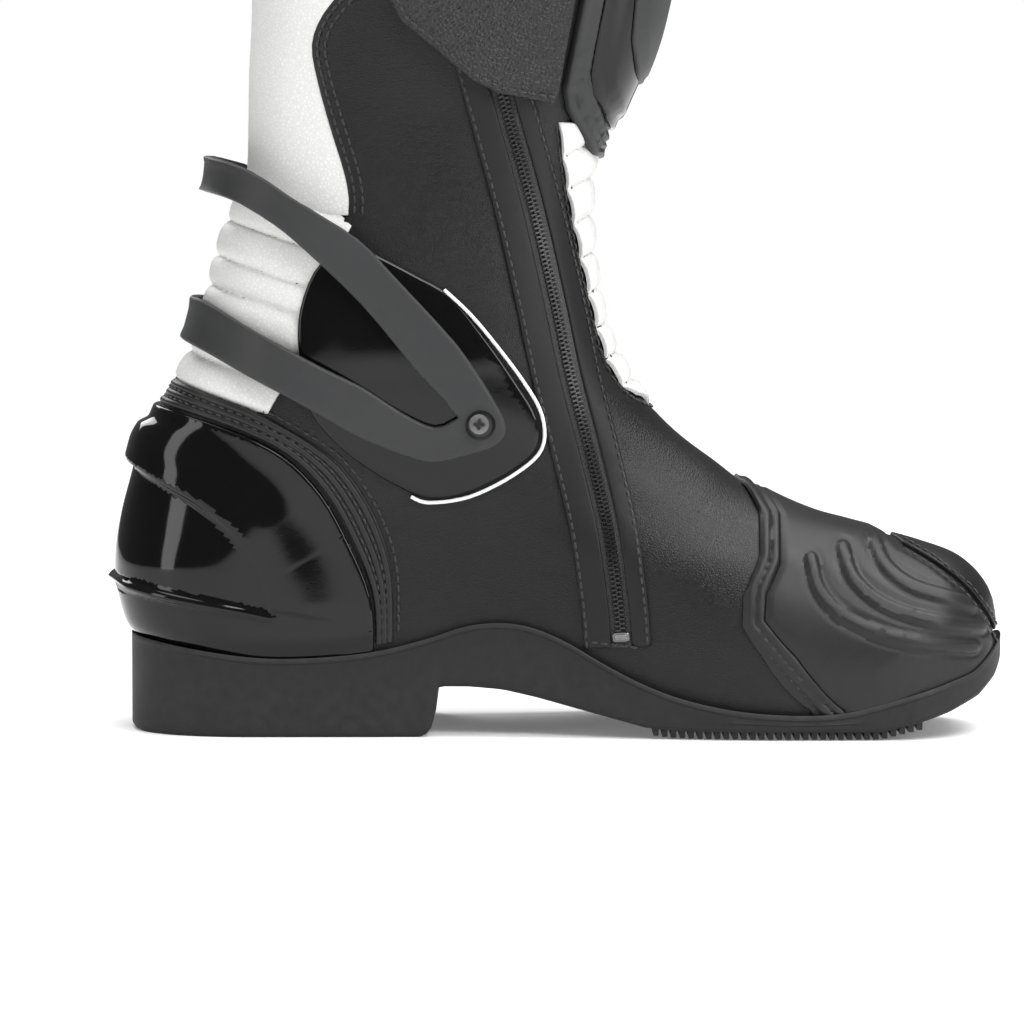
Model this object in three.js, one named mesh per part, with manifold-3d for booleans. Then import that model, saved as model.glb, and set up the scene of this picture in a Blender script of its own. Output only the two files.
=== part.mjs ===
// Motorcycle road boot for the left foot, size 42 to 43, in millimetres.
// +X points to the toe, +Y to the outer (lateral) side, +Z up. The origin lies on the heel's ground face.
// The upper is a stack of skins over one lofted surface: every skin is the space between two offsets
// of that surface, trimmed by an outline drawn in side view.
import * as THREE from "three";
import { ParametricGeometry } from "three/addons/geometries/ParametricGeometry.js";
import { mergeVertices } from "three/addons/utils/BufferGeometryUtils.js";
import Module from "manifold-3d";

const wasm = await Module();
wasm.setup();

// ---------------------------------------------------------------- driving dimensions
const footLength = 293; // leather of the heel to leather of the toe
const shaftHeight = 330; // ground to the top line over the shin
const ballWidth = 97; // widest part of the forefoot
const calfWidth = 110; // outside width of the shaft at the top line

const leatherThickness = 1.6;
const overlayThickness = 1.3; // sewn panels and zip facings
const stiffenerThickness = 1.3;
const liningThickness = 2.6;
const cupThickness = 2.5; // moulded heel and ankle cups
const pipingThickness = 2.0;
const accordionRise = 1.8; // stretch panels stand this far proud of the leather
const braceThickness = 3.0;
const sliderThickness = 4.5;
const plateThickness = 3.4;
const flapThickness = 1.6;
const collarDepth = 28;
const collarThickness = 6.5;
const layerGap = 0.3; // between two pieces that touch

const flexRadius = 44; // round lobe of the shaft that turns inside the foot's cut-out
const flexGap = 0.6;
const gussetFrontAngle = 5; // degrees above horizontal, where the foot ends in front of the ankle
const shaftFrontAngle = 30; // where the shaft begins
const shaftRearAngle = 165;

const soleMargin = 2.6; // the sole stands out beyond the upper
const treadDepth = 2.4;
const insoleThickness = 2.0;
const footbedThickness = 4.0;
const shankWidth = 18;
const shankThickness = 1.5;

const screwHeadRadius = 3.3;
const screwHeadHeight = 1.6;
const screwShankRadius = 1.5;
const screwRecess = 0.9; // depth of the cross slot
const screwCrossLength = 3.6;
const screwCrossWidth = 0.9;
const pivotNutRadius = 6;
const pivotNutThickness = 1.4;
const nutDepth = 0.9; // the flat nut sits this much deeper than the curved leather
const turningGap = 0.3; // round a pin that turns

const zipChainWidth = 6;
const zipPlacketRearWidth = 9.5;
const zipPlacketFrontWidth = 6.6;
const zipSliderLength = 11;
const zipSliderWidth = 7;
const zipSliderHeight = 1.1;
const zipPullLength = 17;
const zipPullWidth = 5;
const zipPullThickness = 0.8;

// ---------------------------------------------------------------- grading of the size 42 pattern
const lengthGrade = footLength / 293;
const heightGrade = shaftHeight / 330;
const ballGrade = ballWidth / 97;
const calfGrade = calfWidth / 110;

const lerp = THREE.MathUtils.lerp;
const smoothstep = THREE.MathUtils.smoothstep;
const degrees = THREE.MathUtils.degToRad;

// A point, or a list of points, of the side-view pattern at the wanted size.
const at = (x, z) => new THREE.Vector2(x * lengthGrade, z * heightGrade);
const pattern = (points) => points.map(([x, z]) => at(x, z));
// A smooth line through the pattern points.
function smooth(points, perSpan = 3) {
  return new THREE.SplineCurve(pattern(points)).getPoints((points.length - 1) * perSpan);
}

// A smooth function through (input, value) stations.
function stationFunction(stations) {
  const curve = new THREE.SplineCurve(stations.map(([input, value]) => new THREE.Vector2(input, value)));
  const samples = curve.getPoints(stations.length * 10);
  return (input) => {
    const next = samples.findIndex((sample) => sample.x >= input);
    if (next === -1) return samples[samples.length - 1].y;
    if (next === 0) return samples[0].y;
    const before = samples[next - 1];
    const after = samples[next];
    return lerp(before.y, after.y, (input - before.x) / (after.x - before.x));
  };
}

// ---------------------------------------------------------------- the lofted surface of the leather
// Front line: toe, instep and shin, as x over height.
const frontStations = [
  [-10, 236], [20, 236.5], [33, 236.5], [42, 235.5], [48, 233.3], [54, 228.5], [58.5, 222], [62, 212],
  [64.3, 204], [66.5, 195], [68.8, 186], [71.5, 176], [76.5, 164], [83, 152], [90, 142.5], [97, 133.5],
  [105, 124.5], [113, 117.5], [122, 111.5], [134, 106], [149, 102.6], [164, 100.8], [178, 100.2],
  [190, 101], [200, 103.5], [212, 108.5], [228, 115.5], [244, 120], [275, 126], [305, 129], [350, 130],
];
// Back line: heel, ankle and calf.
const backStations = [
  [-10, -44], [12, -46], [24, -47.5], [30, -49.5], [38, -53.5], [50, -56.4], [60, -56.5], [72, -54.5],
  [85, -51], [96, -48], [108, -44], [119, -37.5], [129, -32], [140, -28.7], [150, -26], [160, -23.8],
  [170, -20.5], [178, -17], [190, -15], [219, -14.4], [244, -13.4], [275, -14.5], [305, -17], [350, -20],
];
const medialStations = [[-60, 35.5], [-20, 36.5], [20, 36.5], [55, 36], [90, 38.5], [125, 44],
  [155, 47], [185, 46], [215, 44], [245, 42]];
const lateralStations = [[-60, 36], [-20, 37], [20, 38], [55, 39.5], [90, 43], [125, 48],
  [155, 50], [185, 48], [215, 44], [245, 40]];
const shaftStations = [[-10, 36], [60, 37.5], [100, 40.4], [118, 41], [130, 41.4], [156, 40.8],
  [180, 39.6], [210, 39.9], [246, 44.6], [279, 51.3], [310, 54.5], [350, 56]];
const frontOf = stationFunction(frontStations);
const backOf = stationFunction(backStations);
const medialWidth = stationFunction(medialStations);
const lateralWidth = stationFunction(lateralStations);
const shaftWidth = stationFunction(shaftStations);
const frontSamples = new THREE.SplineCurve(
  frontStations.map(([height, x]) => new THREE.Vector2(x, height)),
).getPoints(180);

const footRound = 50; // how far in from the top line the foot reaches its full width
const heelRound = 40;
const toeSwing = 6; // the toe tip leans to the inner side
const footPower = 2.3; // roundness of the section: 2 is an ellipse, more is boxier
const anklePower = 3;
const calfPower = 2.4;
const ankleStart = 55; // the foot's plan passes into the shaft's width between these heights
const ankleEnd = 118;
const calfPowerStart = 190;
const calfPowerEnd = 270;
const calfGradeStart = 150; // above this the shaft widens with the calf
const calfGradeEnd = 300;
const tuckHeight = 45; // the upper draws in a little under this height, towards the sole
const tuckShare = 0.05;

// Share of the full width at a distance in from the edge of the side view.
function edgeRound(distance, reach, power) {
  const share = Math.min(1, Math.max(0, distance / reach));
  return Math.pow(1 - Math.pow(1 - share, power), 1 / power);
}

function frontDistance(x, z) {
  let best = Infinity;
  for (const sample of frontSamples) best = Math.min(best, Math.hypot(sample.x - x, sample.y - z));
  return best;
}

// Half-width of the ungraded pattern surface on one side (+1 lateral, -1 medial).
function halfWidth(x, z, side) {
  const rise = smoothstep(z, ankleStart, ankleEnd);
  const plan = (side > 0 ? lateralWidth(x) : medialWidth(x)) * ballGrade;
  const shaft = shaftWidth(z) * lerp(1, calfGrade, smoothstep(z, calfGradeStart, calfGradeEnd));
  const halfDepth = (frontOf(z) - backOf(z)) / 2;
  const lowPower = lerp(footPower, anklePower, rise);
  const power = lerp(lowPower, calfPower, smoothstep(z, calfPowerStart, calfPowerEnd));
  const front = edgeRound(frontDistance(x, z), lerp(footRound, halfDepth, rise), power);
  const back = edgeRound(x - backOf(z), lerp(heelRound, halfDepth, rise), power);
  const tuck = Math.max(0, tuckHeight - z) / tuckHeight;
  return lerp(plan, shaft, rise) * front * back * (1 - tuckShare * tuck * tuck);
}

const swingStart = 120;
const toeTip = 237;
const centreShift = (x) => -toeSwing * smoothstep(x, swingStart, toeTip);

// Point of the graded surface: turn runs round the section from the front, by the lateral side, to the back.
function surfacePoint(turn, z) {
  const front = frontOf(z);
  const back = backOf(z);
  const x = (front + back) / 2 + ((front - back) / 2) * Math.cos(turn);
  const side = Math.sin(turn) >= 0 ? 1 : -1;
  const width = Math.abs(Math.sin(turn)) < 1e-6 ? 0 : halfWidth(x, z, side);
  return new THREE.Vector3(x * lengthGrade, side * width + centreShift(x), z * heightGrade);
}

function surfaceNormal(turn, z) {
  const step = 0.03;
  const along = surfacePoint(turn + step, z).sub(surfacePoint(turn - step, z));
  const up = surfacePoint(turn, z + 1).sub(surfacePoint(turn, z - 1));
  return along.cross(up).normalize();
}

const levels = [-8, 24, 40, 52, 60, 66, 71, 77, 86, 97, 110, 126, 146, 170, 198, 230, 272, 345];
const sectionSteps = 22;
const skeleton = levels.map((z) =>
  Array.from({ length: sectionSteps }, (_, step) => {
    const turn = (step / sectionSteps) * Math.PI * 2;
    return { point: surfacePoint(turn, z), normal: surfaceNormal(turn, z) };
  }),
);

// ---------------------------------------------------------------- joining and cutting
// A closed surface as a solid. Faces that a pole or a cap folds flat are dropped.
function solid(geometry) {
  const bare = geometry.clone();
  bare.deleteAttribute("normal");
  bare.deleteAttribute("uv");
  const merged = mergeVertices(bare, 1e-4);
  const corners = [];
  const index = merged.index.array;
  for (let i = 0; i < index.length; i += 3) {
    const [a, b, c] = [index[i], index[i + 1], index[i + 2]];
    if (a !== b && b !== c && a !== c) corners.push(a, b, c);
  }
  const vertProperties = merged.attributes.position.array;
  const build = (list) => {
    const triVerts = new Uint32Array(list);
    return new wasm.Manifold(new wasm.Mesh({ numProp: 3, vertProperties, triVerts }));
  };
  const made = build(corners);
  if (made.volume() > 0) return made;
  return build(corners.reverse());
}

// The main body of a solid, without the crumbs that two outlines leave where they graze.
function mainBody(made) {
  const bodies = made.decompose();
  return bodies.reduce((best, body) => (body.volume() > best.volume() ? body : best), bodies[0]);
}

function geometryOf(made) {
  const mesh = made.getMesh();
  return new THREE.BufferGeometry()
    .setAttribute("position", new THREE.BufferAttribute(new Float32Array(mesh.vertProperties), 3))
    .setIndex(new THREE.BufferAttribute(new Uint32Array(mesh.triVerts), 1));
}

// Everything within an offset of the surface; the offset may change over the side view.
function within(offset) {
  const distance = typeof offset === "function" ? offset : () => offset;
  const rows = levels.length + 1;
  const geometry = new ParametricGeometry(
    (u, v, target) => {
      const row = Math.round(v * rows);
      const ring = skeleton[Math.min(Math.max(row - 1, 0), levels.length - 1)];
      if (row === 0 || row === rows) {
        target.set(0, 0, 0);
        ring.forEach(({ point }) => target.addScaledVector(point, 1 / ring.length));
        return;
      }
      const { point, normal } = ring[Math.round(u * sectionSteps) % sectionSteps];
      target.copy(point).addScaledVector(normal, distance(point.x, point.z, point.y));
    },
    sectionSteps,
    rows,
  );
  return solid(geometry);
}

const offsets = new Map();
function offsetSolid(offset) {
  if (typeof offset === "function") return within(offset);
  const key = offset.toFixed(3);
  if (!offsets.has(key)) offsets.set(key, within(offset));
  return offsets.get(key);
}
const skin = (inner, outer) => offsetSolid(outer).subtract(offsetSolid(inner));

const farSide = 120; // beyond every piece in Y
// A side-view outline pushed through from one Y to another.
function prism(outline, from = -farSide, to = farSide) {
  const geometry = new THREE.ExtrudeGeometry(new THREE.Shape(outline), {
    depth: to - from,
    bevelEnabled: false,
  });
  geometry.rotateX(Math.PI / 2).translate(0, to, 0);
  return solid(geometry);
}
const middleSeam = 0.5; // pieces of one side end this far from the middle plane
const medialPrism = (outline) => prism(outline, -farSide, -middleSeam);
const lateralPrism = (outline) => prism(outline, middleSeam, farSide);

const sharpestMitre = 0.6; // keeps a sharp corner from shooting out
// The outline moved outwards by a distance, along the mitre of each corner.
function grow(outline, distance) {
  const turn = THREE.ShapeUtils.area(outline) > 0 ? 1 : -1;
  return outline.map((corner, i) => {
    const before = outline[(i + outline.length - 1) % outline.length];
    const after = outline[(i + 1) % outline.length];
    const first = corner.clone().sub(before).normalize();
    const second = after.clone().sub(corner).normalize();
    const mitre = new THREE.Vector2(first.y + second.y, -first.x - second.x).multiplyScalar(turn);
    const reach = Math.max(sharpestMitre, mitre.length() / 2);
    return corner.clone().addScaledVector(mitre.normalize(), distance / reach);
  });
}

// ---------------------------------------------------------------- the layers, as offsets of the surface
const leatherIn = -leatherThickness;
const stiffenerOut = leatherIn - layerGap;
const stiffenerIn = stiffenerOut - stiffenerThickness;
const liningOut = stiffenerIn - layerGap;
const liningIn = liningOut - liningThickness;
const overlayIn = layerGap;
const overlayOut = overlayIn + overlayThickness;
const cupOut = overlayIn + cupThickness;
const pipingOut = overlayIn + pipingThickness;
const secondIn = overlayOut + layerGap;

// ---------------------------------------------------------------- side-view outlines
const pivot = at(63.6, 104.5); // axis of the ankle brace and of the ankle itself
function polar(radius, angle) {
  const turn = degrees(angle);
  return new THREE.Vector2(pivot.x + radius * Math.cos(turn), pivot.y + radius * Math.sin(turn));
}
function lobe(radius, from, to, steps) {
  return Array.from({ length: steps + 1 }, (_, i) => polar(radius, lerp(from, to, i / steps)));
}

const soleTop = smooth([[-70, 32], [-50, 29.3], [-29, 26.8], [-2, 25], [25, 26.8], [44, 31],
  [61, 36.2], [76, 36.6], [90, 32], [106, 23], [119, 16.6], [133, 11.8], [151, 8.4], [171, 7.3],
  [187, 8.6], [206, 13.7], [220, 18], [233, 23.3], [246, 35]], 1);
const raised = (line, height) => line.map((point) => new THREE.Vector2(point.x, point.y + height));
const topLine = pattern([[-60, 300], [-18, 301], [25, 307], [75, 319], [125, 329.5], [180, 334]]);
const aboveTop = (drop) => [...raised(topLine, -drop), ...pattern([[180, 420], [-60, 420]])];

const collarLine = smooth([[-39.9, 118.6], [-24, 113], [-8, 106.9], [14.1, 93.8], [25.1, 80.4], [31.8, 66],
  [34.5, 52.6], [34.2, 15]], 1);
const cupLine = smooth([[-41.5, 109.2], [-19.1, 102.5], [-1.3, 93.8], [11.7, 80.4], [20.8, 63.7],
  [27.4, 47], [28.8, 15]], 1);

const accordionFront = smooth([[-10, 108], [-4, 118], [2.5, 127], [4.6, 136], [6, 146], [11.7, 157],
  [18.4, 171]], 2);
const accordionOutline = [
  ...pattern([[-60, 178], [-60, 126.6], [-39.9, 119.4], [-24, 113.8]]),
  ...accordionFront,
  ...pattern([[-19.4, 175.5]]),
];
const whiteEdge = smooth([[20.2, 173], [20.4, 179], [18.8, 187.6], [14.4, 201.7], [10.1, 217.1],
  [8.2, 229], [12, 239], [22, 252], [29, 272], [32, 300], [33, 360]], 2);
const whiteOutline = [...whiteEdge, ...pattern([[-60, 360], [-60, 180], [-19.4, 177.5], [5, 175]])];
const shaftZone = [
  ...pattern([[-80, 133.6], [-39.9, 119.2], [-24, 113.6], [-10, 107.8], [-4, 118]]),
  ...lobe(flexRadius, shaftRearAngle, 360 + shaftFrontAngle, 18),
  polar(130, shaftFrontAngle),
  ...pattern([[220, 400], [-80, 400]]),
];
const gussetOutline = [
  ...lobe(flexRadius + flexGap, gussetFrontAngle, shaftFrontAngle, 4),
  polar(120, shaftFrontAngle),
  polar(120, gussetFrontAngle),
];
const frontEdge = smooth([[108, 129], [103.2, 147.4], [98.5, 168.5], [95.5, 185], [93.2, 204]], 2);
const frontAccordionOutline = [...frontEdge, ...pattern([[110, 207], [160, 207], [160, 129]])];

const plateRear = smooth([[107.5, 203], [101.5, 212], [100.2, 219], [104.9, 244], [108, 275],
  [110, 312]], 2);
const plateOutline = [...plateRear, ...pattern([[122, 318], [160, 320], [160, 205], [118, 198]])];
const plateTrimOutline = [
  ...smooth([[102.8, 191], [93.8, 207], [92.1, 214], [98.4, 244], [101.5, 275], [103.5, 314]], 2),
  ...pattern([[122, 322], [160, 324], [160, 196], [113, 189]]),
];
const plateInsertOutline = pattern([[119, 216], [115, 230], [118, 262], [122, 300], [160, 304],
  [160, 214]]);

const ankleCupOutline = smooth([[25.1, 162.5], [41.9, 153.8], [54, 146.5], [66, 132], [76, 117.8],
  [82.6, 106.4], [82.6, 96.4], [74, 88.6], [60, 81.6], [47, 79.6], [36.2, 83.8], [24.1, 91.5],
  [14.1, 100.5], [7.4, 110.2], [4.6, 126], [5, 142], [11.7, 157.1], [25.1, 162.5]], 2).slice(0, -1);
const edgeTrimWindow = pattern([[54, 170], [110, 150], [110, 70], [50, 60], [50, 82], [64, 96],
  [70, 110], [54, 140]]);

const braceOutline = [
  ...pattern([[-60, 193], [-22, 193]]),
  ...smooth([[-14.7, 192], [-5.4, 187.3], [7.4, 176], [24.1, 164.8], [36.2, 152.4], [56.3, 130.3],
    [67, 114], [71.8, 104], [69, 98], [60, 94.8], [49.6, 92.6], [41.9, 93.8], [25.1, 100.5],
    [9.7, 109.2], [-9, 119], [-24, 126.4]], 2),
  ...pattern([[-33.5, 130.3], [-60, 130.3], [-60, 144.7], [-33.5, 144.7]]),
  ...smooth([[-24.5, 143.8], [-4.7, 132.7], [7.4, 126], [25.1, 116.9], [38.5, 108.4], [49, 103.8],
    [56.4, 107]], 2),
  ...smooth([[41.9, 123.6], [25.1, 143.7], [7.4, 161.5], [-3, 170.5], [-20.4, 177.4]], 2),
  ...pattern([[-60, 178]]),
];

const padOutline = [
  ...smooth([[157.1, 84], [163.8, 74], [162.5, 58.3], [157.8, 48.6], [157.1, 39.9], [168.2, 27],
    [184, 6]], 1),
  ...smooth([[240, 16], [234.5, 33], [227, 46.5], [215, 56.5], [205, 62.5], [193, 72]], 1),
];
const padTrimOutline = [
  ...smooth([[150, 92], [157.4, 74], [156.4, 62], [150.4, 48], [150, 37], [156.4, 27], [173, 4]], 1),
  ...smooth([[246, 14], [240, 30], [232, 45.5], [218, 60], [207, 68], [196, 80]], 1),
];
const padLateralEdge = 16; // the pad ends this far over on the lateral side
const padTrimWidth = 6;

const sliderOutline = [
  ...smooth([[112, 18], [112.5, 27], [122, 38], [150, 43], [205, 46.5], [226, 45], [236, 38],
    [246, 24]], 1),
  ...pattern([[246, 0], [112, 0]]),
];
const sliderScrews = [at(142, 25), at(203, 31)];
const lateralPanelOutline = [
  ...smooth([[60, 48], [90, 56], [130, 56], [170, 52.5], [205, 52], [228, 48], [242, 40]], 2),
  ...pattern([[242, 0], [60, 0]]),
];
const toeCapOutline = [
  ...smooth([[196, 80], [208.5, 67], [219, 59.5], [233, 45], [240.5, 31], [246, 14]], 1),
  ...pattern([[260, 14], [260, 90]]),
];

// ---------------------------------------------------------------- finishes
function finish(color, roughness, metalness = 0) {
  return () => new THREE.MeshStandardMaterial({ color, roughness, metalness });
}
const blackLeather = finish(0x1b1c1e, 0.5);
const pebbleLeather = finish(0x202123, 0.6);
const whiteLeather = finish(0xe4e4e2, 0.5);
const blackGloss = finish(0x050506, 0.12);
const matteBlack = finish(0x2a2b2d, 0.65);
const rubber = finish(0x171819, 0.8);
const blackTextile = finish(0x222326, 0.95);
const zipPlastic = finish(0x0c0c0d, 0.4);
const steel = finish(0x8b8d90, 0.35, 1);
const darkSteel = finish(0x1a1a1b, 0.3, 1);
const cork = finish(0x9a7a52, 0.9);
const whiteEdging = finish(0xf2f2f0, 0.4);

const boot = new THREE.Group();
boot.name = "boot";
function add(name, made, material) {
  const mesh = new THREE.Mesh(geometryOf(mainBody(made)), material());
  mesh.name = name;
  boot.add(mesh);
}

// ---------------------------------------------------------------- sole
const featherHeight = 34;
const planSteps = 44;
// Plan view of the upper at the feather line, moved out by a margin.
function planOutline(margin) {
  return Array.from({ length: planSteps }, (_, i) => {
    const turn = (i / planSteps) * Math.PI * 2;
    const point = surfacePoint(turn, featherHeight);
    const normal = surfaceNormal(turn, featherHeight);
    return new THREE.Vector2(point.x + normal.x * margin, point.y + normal.y * margin);
  });
}
function planPrism(margin) {
  const geometry = new THREE.ExtrudeGeometry(new THREE.Shape(planOutline(margin)), {
    depth: shaftHeight,
    bevelEnabled: false,
  });
  return solid(geometry.translate(0, 0, -shaftHeight / 2));
}
// The band between two heights over the sole's top line.
function soleBand(from, to) {
  return prism([...raised(soleTop, to), ...raised(soleTop, from).reverse()]);
}
const overSole = pattern([[300, 60], [300, 400], [-90, 400], [-90, 40]]);
const aboveSole = prism([...raised(soleTop, layerGap), ...overSole]);

const treadSeat = treadDepth + layerGap; // underside of the sole over the tread insert
const overTread = (x, drop) => new THREE.Vector2(at(x, 0).x, treadSeat + drop * heightGrade);
const forefootBottom = [
  overTread(118.3, 1),
  overTread(137, 0),
  overTread(196, 0),
  overTread(209, 3),
  ...pattern([[219.4, 9], [229.6, 13.7], [235.8, 19.4], [239.5, 25.2], [246, 32]]),
];
const shankBed = at(14, 0).x;
const shankEnd = at(112, 0).x;

function makeOutsole() {
  const profile = [
    ...pattern([[-70, 0], [43.5, 0]]),
    ...pattern([[46, 1], [47.6, 3], [49.5, 9], [49.9, 16.6], [60.2, 16.8], [71.2, 15.9], [82.1, 13.5],
      [98.5, 9.1]]),
    ...forefootBottom,
    ...[...soleTop].reverse(),
  ];
  const shankPocket = prism(
    [...raised(soleTop, insoleThickness), ...raised(soleTop, -shankThickness - 3 * layerGap).reverse()],
    -shankWidth / 2 - layerGap,
    shankWidth / 2 + layerGap,
  ).intersect(boxBetween(shankBed - layerGap, shankEnd + layerGap));
  return prism(profile).intersect(planPrism(soleMargin)).subtract(shankPocket);
}

// A tall slab between two X values.
function boxBetween(from, to) {
  const geometry = new THREE.BoxGeometry(to - from, 2 * farSide, 2 * shaftHeight);
  return solid(geometry.translate((from + to) / 2, 0, 0));
}

const treadInset = 7; // from the upper's outline
const treadFrontLean = 2; // the insert's front and rear faces lean inwards by these
const treadRearLean = 14;
function makeTread() {
  const [rear, front] = pattern([[124, 0], [203, 0]]);
  const upperFront = new THREE.Vector2(front.x - treadFrontLean, treadDepth);
  const upperRear = new THREE.Vector2(rear.x + treadRearLean, treadDepth);
  return prism([rear, front, upperFront, upperRear]).intersect(planPrism(-treadInset));
}

const insideLining = offsetSolid(liningIn - layerGap);
const makeInsole = () => soleBand(layerGap, layerGap + insoleThickness).intersect(insideLining);
const footbedBottom = 2 * layerGap + insoleThickness;
const makeFootbed = () => soleBand(footbedBottom, footbedBottom + footbedThickness).intersect(insideLining);
const makeShank = () =>
  prism(
    [...raised(soleTop, -layerGap), ...raised(soleTop, -layerGap - shankThickness).reverse()],
    -shankWidth / 2,
    shankWidth / 2,
  ).intersect(boxBetween(shankBed, shankEnd));

add("outsole", makeOutsole(), rubber);
add("forefoot_tread", makeTread(), rubber);
add("insole_board", makeInsole(), cork);
add("footbed", makeFootbed(), blackTextile);
add("steel_shank", makeShank(), steel);

// ---------------------------------------------------------------- foot
const shaftClearance = prism(grow(shaftZone, flexGap));
const gussetClearance = prism(grow(gussetOutline, layerGap));
const accordionClearance = prism(grow(accordionOutline, layerGap));
const footTrim = (made) => made.intersect(aboveSole).subtract(shaftClearance).subtract(gussetClearance);

const puffRear = at(182, 0).x;
const stiffenerFront = smooth([[-45, 104], [-10, 92], [14, 62], [24, 36], [30, 0]], 1);
const stiffenerOutline = [...stiffenerFront, ...pattern([[-90, 0], [-90, 112]])];

const blockStep = 0.4; // the raised block and the ridge stand out at least this far
const blockRise = 3.4; // and this much more at the back
const ridgeRise = 2.2;
function makeHeelCup() {
  const base = prism([...cupLine, ...pattern([[-90, 15], [-90, 117], [-48, 110.4]])]);
  const block = prism([
    ...smooth([[-60, 93], [-50, 89], [-38.2, 82.5], [-26.8, 75.5], [-15.7, 65.3], [-9, 54.9],
      [-4.7, 40]], 1),
    ...smooth([[4, 46], [4, 60], [-4, 76], [-16, 88], [-30, 94], [-41.5, 99]], 1),
    ...pattern([[-48, 110], [-70, 112]]),
  ]);
  const ridge = prism([
    ...smooth([[-75, 55], [-61.6, 53.4], [-35.8, 46.4], [-2, 39.3]], 1),
    ...smooth([[-2, 36.9], [-35.8, 42.6], [-61, 47.5], [-75, 49]], 1),
  ]);
  const towardsBack = (x, from, to) => smoothstep(-x, from * lengthGrade, to * lengthGrade);
  const blockOut = (x) => cupOut + blockStep + blockRise * towardsBack(x, 12, 46);
  const ridgeOut = (x) => cupOut + 2 * blockStep + ridgeRise * towardsBack(x, 10, 56);
  return offsetSolid(cupOut).intersect(base)
    .add(offsetSolid(blockOut).intersect(block))
    .add(offsetSolid(ridgeOut).intersect(ridge))
    .subtract(offsetSolid(overlayIn))
    .intersect(base)
    .intersect(aboveSole);
}
const trimGap = layerGap + 0.4; // the trim keeps clear of the cup's sloping rim
function makeCollarTrim() {
  const outer = prism([...collarLine, ...pattern([[-90, 15], [-90, 133], [-50, 122.4]])]);
  const inner = prism(grow([...cupLine, ...pattern([[-90, 15], [-90, 118], [-48, 110.6]])], trimGap));
  return skin(overlayIn, pipingOut).intersect(outer).subtract(inner).intersect(aboveSole);
}
function makePad() {
  const window = prism(padOutline, -farSide, padLateralEdge);
  return skin(overlayIn, pipingOut).intersect(window).intersect(aboveSole);
}
const sliderInnerEdge = 4; // the slider starts just past the middle of the toe tip
const sliderClearance = prism(grow(sliderOutline, layerGap), sliderInnerEdge - layerGap, farSide);
function makePadTrim() {
  const outer = prism(padTrimOutline, -farSide, padLateralEdge + padTrimWidth);
  const inner = prism(grow(padOutline, layerGap), -farSide, padLateralEdge + layerGap);
  const trim = skin(overlayIn, pipingOut).intersect(outer).subtract(inner);
  return trim.subtract(sliderClearance).intersect(aboveSole);
}
const lateralPanelTop = prism(grow(lateralPanelOutline, layerGap), padLateralEdge, farSide);
const toeCapReach = 8; // past the pad's edge on the lateral side
function makeToeCap() {
  const trim = prism(grow(padTrimOutline, layerGap), -farSide, padLateralEdge + padTrimWidth + layerGap);
  const front = prism(toeCapOutline, -farSide, padLateralEdge + toeCapReach);
  return skin(overlayIn, overlayOut)
    .intersect(front)
    .subtract(trim)
    .subtract(lateralPanelTop)
    .subtract(sliderClearance)
    .intersect(aboveSole);
}
function makeLateralPanel() {
  const window = prism(lateralPanelOutline, padLateralEdge + padTrimWidth + layerGap, farSide);
  return skin(overlayIn, overlayOut).intersect(window).intersect(aboveSole);
}

// The frame at a point of the surface: its place and its outward normal, from the side view.
function surfaceFrame(place, side, offset) {
  const x = place.x / lengthGrade;
  const z = place.y / heightGrade;
  const spot = (px, pz) => {
    const y = side * halfWidth(px, pz, side) + centreShift(px);
    return new THREE.Vector3(px * lengthGrade, y, pz * heightGrade);
  };
  const along = spot(x + 1, z).sub(spot(x - 1, z));
  const up = spot(x, z + 1).sub(spot(x, z - 1));
  const normal = up.cross(along).multiplyScalar(side).normalize();
  return { point: spot(x, z).addScaledVector(normal, offset), normal };
}
const upAxis = new THREE.Vector3(0, 1, 0);
// A round pin along an axis, between two distances from a point.
function pin(frame, radius, from, to, sides = 16) {
  const geometry = new THREE.CylinderGeometry(radius, radius, to - from, sides);
  geometry.translate(0, (from + to) / 2, 0);
  geometry.applyQuaternion(new THREE.Quaternion().setFromUnitVectors(upAxis, frame.normal));
  return solid(geometry.translate(...frame.point.toArray()));
}
// A cross-head screw: head on the seat at distance 0, shank going inwards.
function screw(frame, depth) {
  const turn = new THREE.Quaternion().setFromUnitVectors(upAxis, frame.normal);
  const bar = (width, length) => {
    const geometry = new THREE.BoxGeometry(width, 2 * screwRecess, length);
    geometry.translate(0, screwHeadHeight, 0).applyQuaternion(turn);
    return solid(geometry.translate(...frame.point.toArray()));
  };
  return pin(frame, screwHeadRadius, 0, screwHeadHeight)
    .add(pin(frame, screwShankRadius, -depth, screwHeadHeight / 2, 12))
    .subtract(bar(screwCrossWidth, screwCrossLength))
    .subtract(bar(screwCrossLength, screwCrossWidth));
}

const sliderOut = secondIn + sliderThickness;
const sliderFloor = 2.2; // left under the screw recesses
const sliderSeat = secondIn + sliderFloor;
const recessMargin = 2.4; // round a screw head
const sliderTaper = 1.6; // thinner towards the toe tip
const seatGap = 0.1; // under a screw head
const pinReach = 20; // long enough to cut through any layer
function makeToeSlider() {
  const window = prism(sliderOutline, sliderInnerEdge, farSide);
  const outer = (x) => sliderOut - sliderTaper * smoothstep(x, 222 * lengthGrade, 240 * lengthGrade);
  let slider = skin(secondIn, outer).intersect(window).intersect(aboveSole);
  for (const place of sliderScrews) {
    const recess = pin(surfaceFrame(place, 1, sliderSeat), screwHeadRadius + recessMargin, 0, pinReach);
    const foot = surfaceFrame(place, 1, 0);
    const hole = pin(foot, screwShankRadius + turningGap, -leatherThickness, pinReach, 12);
    slider = slider.subtract(recess).subtract(hole);
  }
  return slider;
}
const sliderScrewDepth = sliderSeat - secondIn + 2 * seatGap;
const sliderFrames = sliderScrews.map((place) => surfaceFrame(place, 1, sliderSeat + seatGap));

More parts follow.
